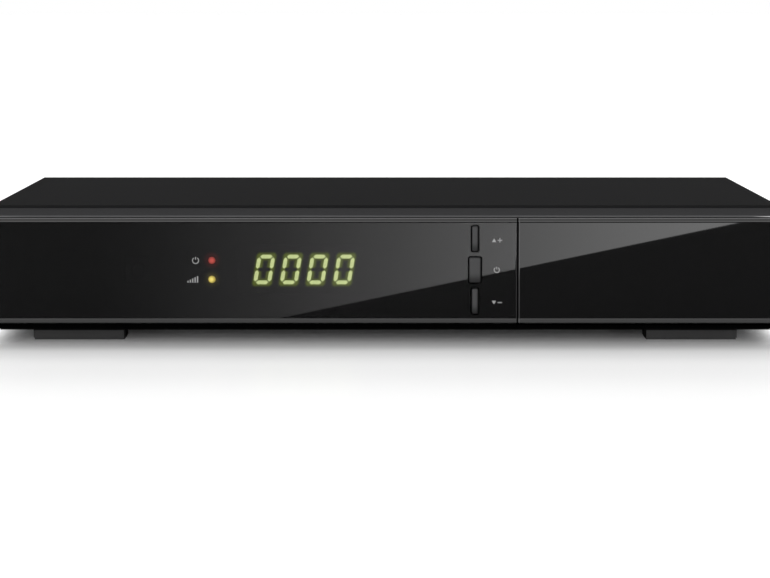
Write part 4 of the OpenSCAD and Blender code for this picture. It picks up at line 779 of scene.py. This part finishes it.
def repeatRound(thing, material, count, turn, place):  # turned about the X axis through the origin, then moved
    plan = Plan("repeatRound", {"Count": count, "Turn": turn, "Place": place})
    points = plan.node("GeometryNodeMeshLine", {}, {"Count": plan.input("Count"), "Offset": (0.0, 0.0, 0.0)})
    index = plan.node("GeometryNodeInputIndex", {}, {})
    angles = plan.node("ShaderNodeCombineXYZ", {}, {"X": index * plan.input("Turn")})
    spread = plan.node("GeometryNodeInstanceOnPoints", {}, {"Points": points, "Instance": plan.input("Shape"),
                                                            "Rotation": angles})
    moved = plan.node("GeometryNodeTransform", {}, {"Geometry": spread, "Translation": plan.input("Place")})
    return plan.make(thing, moved, material)


def helix(thing, material, radius, ridge, pitch, turns, place, second):  # ridge wound round an axis along Y
    plan = Plan("helix", {"Radius": radius, "Ridge": ridge, "Turns": turns, "Height": pitch * turns, "Place": place,
                          "Second": second})
    spiral = plan.node("GeometryNodeCurveSpiral", {}, {"Resolution": 28, "Rotations": plan.input("Turns"),
                       "Start Radius": plan.input("Radius"), "End Radius": plan.input("Radius"),
                       "Height": plan.input("Height")})
    profile = plan.node("GeometryNodeCurvePrimitiveCircle", {}, {"Resolution": 4, "Radius": plan.input("Ridge")})
    ridged = plan.node("GeometryNodeCurveToMesh", {}, {"Curve": spiral, "Profile Curve": profile, "Fill Caps": True})
    laid = plan.node("GeometryNodeTransform", {}, {"Geometry": ridged, "Rotation": (-math.pi / 2, 0.0, 0.0)})
    line = plan.node("GeometryNodeMeshLine", {}, {"Count": 2, "Start Location": plan.input("Place"),
                                                  "Offset": plan.input("Second")})
    spread = plan.node("GeometryNodeInstanceOnPoints", {}, {"Points": line, "Instance": laid})
    return plan.make(thing, spread, material)


def lathe(bm, x, z, profile, steps=48):  # profile of (radius, y) turned round an axis along Y
    loft(bm, [[(px, y, pz) for px, pz in circle(x, z, r, steps)] for r, y in profile])


def joined(parts):
    bm = bmesh.new()
    for part in parts:
        bm.from_mesh(part.data)
        bpy.data.objects.remove(part)
    return bm


# Aerial connectors with their screw thread

threadLook = {"pitch": 0.79375 * mm, "outer": 4.76 * mm, "depth": 0.36 * mm, "reach": 11.0 * mm, "neck": 5.0 * mm,
              "nut": 2.0 * mm, "bore": 3.1 * mm, "seat": 1.0 * mm, "mouth": 0.15 * mm, "lead": 0.35 * mm,
              "ridge": 0.72, "margin": 0.45 * mm}


def makeAerialBarrels():
    k = threadLook
    low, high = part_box("coax_barrels")
    wall = high.y - k["reach"]
    x0, x1, z = low.x + k["neck"], high.x - k["neck"], (low.z + high.z) / 2
    root = k["outer"] - k["depth"]
    body = bmesh.new()
    mouth, lead = k["mouth"], k["lead"]
    lathe(body, x0, z, [(k["bore"], wall + k["seat"]), (k["bore"], high.y - mouth), (k["bore"] + mouth, high.y),
                        (root - lead, high.y), (root, high.y - lead), (root, wall + k["nut"] + 0.2 * mm),
                        (k["neck"], wall + k["nut"]), (k["neck"], low.y)])
    barrels = repeatAlong(bmeshThing("aerialBody", body), finishes["nickel"], 2, (x1 - x0, 0.0, 0.0))
    turns = (k["reach"] - k["nut"] - 2 * k["margin"]) / k["pitch"]
    ridge = k["depth"] * k["ridge"]
    start = (x0, wall + k["nut"] + k["margin"], z)
    thread = helix(bmeshThing("aerialThread", bmesh.new()), finishes["nickel"], k["outer"] - ridge, ridge, k["pitch"],
                   turns, start, (x1 - x0, 0.0, 0.0))
    made = bmeshThing("aerialBarrels", joined([barrels, thread]))
    finishMesh(made, "aerialBarrels", slots["coax_barrels"], 40)
    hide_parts("coax_barrels")


# Contacts in the rear sockets

wideLook = {"count": 10, "pitch": 3.8 * mm, "shift": 0.9 * mm, "rise": 2.2 * mm, "size": (0.3 * mm, 1.9 * mm),
            "depth": (4.8 * mm, 0.4 * mm), "bow": 0.3 * mm, "rim": 1.0 * mm}
serialLook = {"rows": ((5, 1.42 * mm), (4, -1.42 * mm)), "pitch": 2.77 * mm, "back": 0.5 * mm, "length": 4.5 * mm,
              "bore": 0.3 * mm, "outer": 0.5 * mm}


def strip(bm, x, z, size, y0, y1, bow):  # springy strip that bows in the middle of its length
    w, h = size
    rings = []
    for i in range(6):
        t = i / 5
        push = bow * math.sin(math.pi * t)
        y = y0 + (y1 - y0) * t
        corners = ((-1, -1), (1, -1), (1, 1), (-1, 1))
        rings.append([(x + push + a * w / 2, y, z + b * h / 2) for a, b in corners])
    loft(bm, rings)


def makeWideContacts():
    k = wideLook
    low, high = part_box("scart_shield")
    mid = (low + high) / 2
    wall = high.y - k["rim"]
    rows = []
    for side in (-1, 1):
        bm = bmesh.new()
        x = mid.x - (k["count"] - 1) / 2 * k["pitch"] + side * k["shift"]
        strip(bm, x, mid.z + side * k["rise"], k["size"], *(wall - v for v in k["depth"]), k["bow"])
        rows.append(repeatAlong(bmeshThing("contactRow", bm), finishes["contact_brass"], k["count"],
                                (k["pitch"], 0.0, 0.0)))
    made = bmeshThing("wideSocketContacts", joined(rows))
    finishMesh(made, "wideSocketContacts", "contact_brass", 30)


def makeSerialContacts():
    k = serialLook
    low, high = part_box("serial_shell")
    mid = (low + high) / 2
    face = high.y - k["back"]
    lip, start, bore, outer = face - 0.5 * mm, face - k["length"], k["bore"], k["outer"]
    rows = []
    for count, z in k["rows"]:
        bm = bmesh.new()
        x = mid.x - (count - 1) / 2 * k["pitch"]
        lathe(bm, x, mid.z + z, [(bore, start), (bore, lip - 0.05 * mm), (bore + 0.06 * mm, lip),
                                 (outer - 0.04 * mm, lip), (outer, lip - 0.05 * mm), (outer, start)], 16)
        rows.append(repeatAlong(bmeshThing("sleeveRow", bm), finishes["contact_brass"], count,
                                (k["pitch"], 0.0, 0.0)))
    made = bmeshThing("serialContacts", joined(rows))
    finishMesh(made, "serialContacts", "contact_brass", 30)


# Windings of the mains choke

windingLook = {"ring": 6.5 * mm, "core": 3.4 * mm, "wire": 0.36 * mm, "turns": 38, "stand": 1.1 * mm,
               "steps": (18, 6)}


def makeWindings():
    k = windingLook
    low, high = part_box("mains_choke")
    centre = (low.x + high.x) / 2, (low.y + high.y) / 2, low.z + k["ring"] + k["core"] + k["stand"]
    bm = bmesh.new()
    around, across = k["steps"]
    loop = k["core"] + k["wire"] * 0.8
    rows = []
    for i in range(around):
        a = 2 * math.pi * i / around
        out = Vector((math.cos(a), 0, math.sin(a)))
        row = []
        for j in range(across):
            b = 2 * math.pi * j / across
            side = Vector((0, k["wire"] * math.sin(b), k["ring"]))
            row.append(bm.verts.new(out * (loop + k["wire"] * math.cos(b)) + side))
        rows.append(row)
    for i in range(around):
        a, b = rows[i], rows[(i + 1) % around]
        for j in range(across):
            bm.faces.new((a[j], a[(j + 1) % across], b[(j + 1) % across], b[j]))
    made = repeatRound(bmeshThing("turns", bm), finishes["copper_wire"], k["turns"], 2 * math.pi / k["turns"], centre)
    finishMesh(made, "chokeWindings", "copper_wire", 50)


makeAerialBarrels()
makeWideContacts()
makeSerialContacts()
makeWindings()
print("repeated details made")


# Floor and room. To mirror-like surfaces the floor shows a bright card with a slanting edge
# on dark cloth, laid in front of the panel, as in a product photograph.

stageLook = {"floorColour": (0.9, 0.9, 0.9), "floorSize": 40.0, "eyeDistance": 1073.7 * mm, "eyeHeight": 112.35 * mm,
             "cardEdge": ((-39.53 * mm, 74.4 * mm), (177.55 * mm, 574.0 * mm)), "cardPeak": 2.6,
             "cardEnds": 127.6 * mm, "clothStart": (7 * mm, 12 * mm), "clothSide": 500 * mm, "clothEnd": 1200 * mm,
             "plainLevel": (0.95, 0.95, 0.95), "nearLevel": (0.85, 0.85, 0.85), "roomLight": 0.52, "topLight": 16.0,
             "lampSize": (1.4, 1.0), "lampPlace": (0, 0.35, 1.5)}
cardLevels = [(0.0, 0.0), (0.128, 0.002), (0.212, 0.027), (0.36, 0.121), (0.514, 0.304), (0.668, 0.553),
              (0.822, 0.829), (0.925, 0.968), (1.0, 1.0)]
underLevels = [(0.0, 0.0), (0.06, 0.017), (0.124, 0.051), (0.186, 0.0816), (0.25, 0.102), (0.314, 0.1008),
               (0.38, 0.0767), (0.444, 0.0587), (0.574, 0.042), (0.706, 0.0224), (0.84, 0.0143), (0.95, 0.0)]
shadeLook = {"halfWidth": 130 * mm, "rise": 12 * mm, "fall": (14 * mm, 32 * mm), "penumbra": 0.83,
             "opening": ((18 * mm, 72 * mm, 0.2), (80 * mm, 150 * mm, 0.07), (400 * mm, 1500 * mm, 0.07)),
             "gapDepth": 15 * mm, "deep": 0.05, "deepStart": (37.6 * mm, 41.8 * mm), "deepEnd": (-40 * mm, -37 * mm),
             "underStart": 5 * mm, "underLength": 50 * mm, "sideStart": 118 * mm, "sideLength": 13 * mm,
             "sidePower": 2.3, "sideLight": 0.56, "sideRise": (-24 * mm, 4 * mm), "sideFade": 14 * mm}


def makeCard(f, front):  # what mirror-like surfaces see on the floor
    s = stageLook
    (xa, ya), (xb, yb) = s["cardEdge"]
    side = (front - ya) - (f.x - xa) * ((yb - ya) / (xb - xa))
    lit = side.ease(-0.6 * mm, 0.6 * mm)
    across = f.x * s["eyeDistance"] / (front + s["eyeDistance"])  # place on the panel that mirrors this spot
    level = f.node("ShaderNodeValToRGB", {"stops": cardLevels}, {0: (across + s["cardEnds"]) / (2 * s["cardEnds"])})
    near = 1 - front.ease(*s["clothStart"])
    onCloth = f.x.absolute() < s["clothSide"]
    return f.mix(onCloth, s["plainLevel"], f.mix(near, lit * level * s["cardPeak"], s["nearLevel"]))


def makeFloor():
    s, k = stageLook, shadeLook
    f = Finish("paleFloor")
    front = (f.y - faceY) * -1  # distance in front of the panel
    inside = front * -1
    behind = f.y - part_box("top_cover")[1].y
    aside = (f.x.absolute() - k["halfWidth"]).higher(0.0)
    ahead = front.higher(behind).higher(0.0)
    away = (aside.power(2) + ahead.power(2)).power(0.5)
    under = aside < 0.5 * mm
    nearFront = (front + k["gapDepth"]).ease(0.0, k["gapDepth"])
    gap = nearFront * (1 - away.ease(0.0, k["rise"]))  # lit strip close to the front edge, left out of the painted shadow
    penumbra = (1 - gap) * (away > 0) * (1 - away.ease(*k["fall"]))
    pale = f.mix(f.noise(40, 3.0), shade(s["floorColour"], 0.99), s["floorColour"])
    # painted shadow: the floor's colour darkens round the object
    colour = f.mix(penumbra, pale, shade(s["floorColour"], k["penumbra"]))
    sheet = f.node("ShaderNodeBsdfPrincipled", {}, {"Base Color": colour, "Roughness": 0.3,
                                                    "Specular IOR Level": 0.5})
    # painted shadow: a near-black floor under the middle of the body
    dark = f.node("ShaderNodeBsdfPrincipled", {}, {"Base Color": (*shade(s["floorColour"], k["deep"]), 1),
                                                   "Roughness": 1.0, "Specular IOR Level": 0.0})
    deep = inside.ease(*k["deepStart"]) * (1 - behind.ease(*k["deepEnd"])) * under
    paper = f.node("ShaderNodeMixShader", {}, {0: deep, 1: sheet, 2: dark})
    opening = 0
    for start, end, share in k["opening"]:  # painted light: emission clears the floor to white further out
        opening = opening + away.ease(start, end) * share
    creep = f.node("ShaderNodeValToRGB", {"stops": underLevels},  # painted light that creeps in under the front edge
                   {0: (k["underStart"] - front) / k["underLength"]})
    # painted light under the two ends of the front
    atSide = ((f.x.absolute() - k["sideStart"]) / k["sideLength"]).higher(0.0).lower(1.0).power(k["sidePower"])
    atSide = atSide * inside.ease(*k["sideRise"]) * (1 - inside.ease(*k["deepStart"]))
    atSide = atSide * (1 - aside.ease(0.0, k["sideFade"]))
    atSide = atSide * (1 - inside.ease(4 * mm, 34 * mm) * aside.ease(0.0, 3 * mm))
    strength = opening + creep * under + atSide * k["sideLight"]
    lift = f.node("ShaderNodeEmission", {}, {"Color": (1, 1, 1, 1), "Strength": strength})
    seen = f.node("ShaderNodeLightPath", {}, {}, "Is Camera Ray")
    toGloss = f.node("ShaderNodeLightPath", {}, {}, "Is Glossy Ray")
    lifted = f.node("ShaderNodeAddShader", {}, {0: paper, 1: lift})
    forEye = f.node("ShaderNodeMixShader", {}, {0: seen, 1: paper, 2: lifted})
    card = f.node("ShaderNodeEmission", {}, {"Color": makeCard(f, front), "Strength": 1.0})
    onCard = toGloss * (front > 0) * (front < s["clothEnd"])
    both = f.node("ShaderNodeMixShader", {}, {0: onCard, 1: forEye, 2: card})
    f.node("ShaderNodeOutputMaterial", {}, {"Surface": both})
    half = s["floorSize"] / 2
    bm = bmesh.new()
    bm.faces.new([bm.verts.new((x, y, 0)) for x, y in ((-half, -half), (half, -half), (half, half), (-half, half))])
    floor = bmeshThing("floor", bm)
    floor.data.materials.append(f.material)


def makeRoom():
    world = bpy.data.worlds.new("room")
    world.use_nodes = True
    tree = world.node_tree
    tree.nodes.clear()
    path = tree.nodes.new("ShaderNodeLightPath")
    plain = tree.nodes.new("ShaderNodeBackground")
    white = tree.nodes.new("ShaderNodeBackground")
    for ground, strength in ((plain, stageLook["roomLight"]), (white, 1.0)):
        ground.inputs["Color"].default_value = (1, 1, 1, 1)
        ground.inputs["Strength"].default_value = strength
    seen = tree.nodes.new("ShaderNodeMath")
    seen.operation = "MAXIMUM"
    shown = tree.nodes.new("ShaderNodeMath")
    shown.operation = "MAXIMUM"
    both = tree.nodes.new("ShaderNodeMixShader")
    end = tree.nodes.new("ShaderNodeOutputWorld")
    for a, b in ((path.outputs["Is Camera Ray"], seen.inputs[0]), (path.outputs["Is Glossy Ray"], seen.inputs[1]),
                 (seen.outputs[0], shown.inputs[0]), (path.outputs["Is Transmission Ray"], shown.inputs[1]),
                 (shown.outputs[0], both.inputs[0]), (plain.outputs[0], both.inputs[1]),
                 (white.outputs[0], both.inputs[2]), (both.outputs[0], end.inputs["Surface"])):
        tree.links.new(a, b)
    bpy.context.scene.world = world
    lamp = bpy.data.lights.new("overhead", "AREA")
    lamp.shape = "RECTANGLE"
    lamp.size, lamp.size_y = stageLook["lampSize"]
    lamp.energy = stageLook["topLight"]
    overhead = bpy.data.objects.new("overhead", lamp)
    place = Vector(stageLook["lampPlace"])
    overhead.location = place
    overhead.rotation_euler = (-place).to_track_quat("-Z", "Y").to_euler()
    overhead.visible_glossy = False
    bpy.context.scene.collection.objects.link(overhead)


makeFloor()
makeRoom()


# Camera, worked out from the vanishing lines of the photograph

eyeLook = {"place": (-0.08 * mm, faceY - stageLook["eyeDistance"], stageLook["eyeHeight"]), "focalPixels": 3301.0,
           "framePixels": 770, "horizonPixels": 292.05, "sensor": 36.0}

cameraData = bpy.data.cameras.new("camera")
cameraData.sensor_width = eyeLook["sensor"]
cameraData.lens = eyeLook["focalPixels"] * eyeLook["sensor"] / eyeLook["framePixels"]
cameraData.clip_start, cameraData.clip_end = 0.05, 200
camera = bpy.data.objects.new("camera", cameraData)
camera.location = eyeLook["place"]
camera.rotation_euler = (math.pi / 2 - math.atan(eyeLook["horizonPixels"] / eyeLook["focalPixels"]), 0, 0)
bpy.context.scene.collection.objects.link(camera)
bpy.context.scene.camera = camera
bpy.context.scene.view_settings.view_transform = "Standard"
print("stage and camera set")
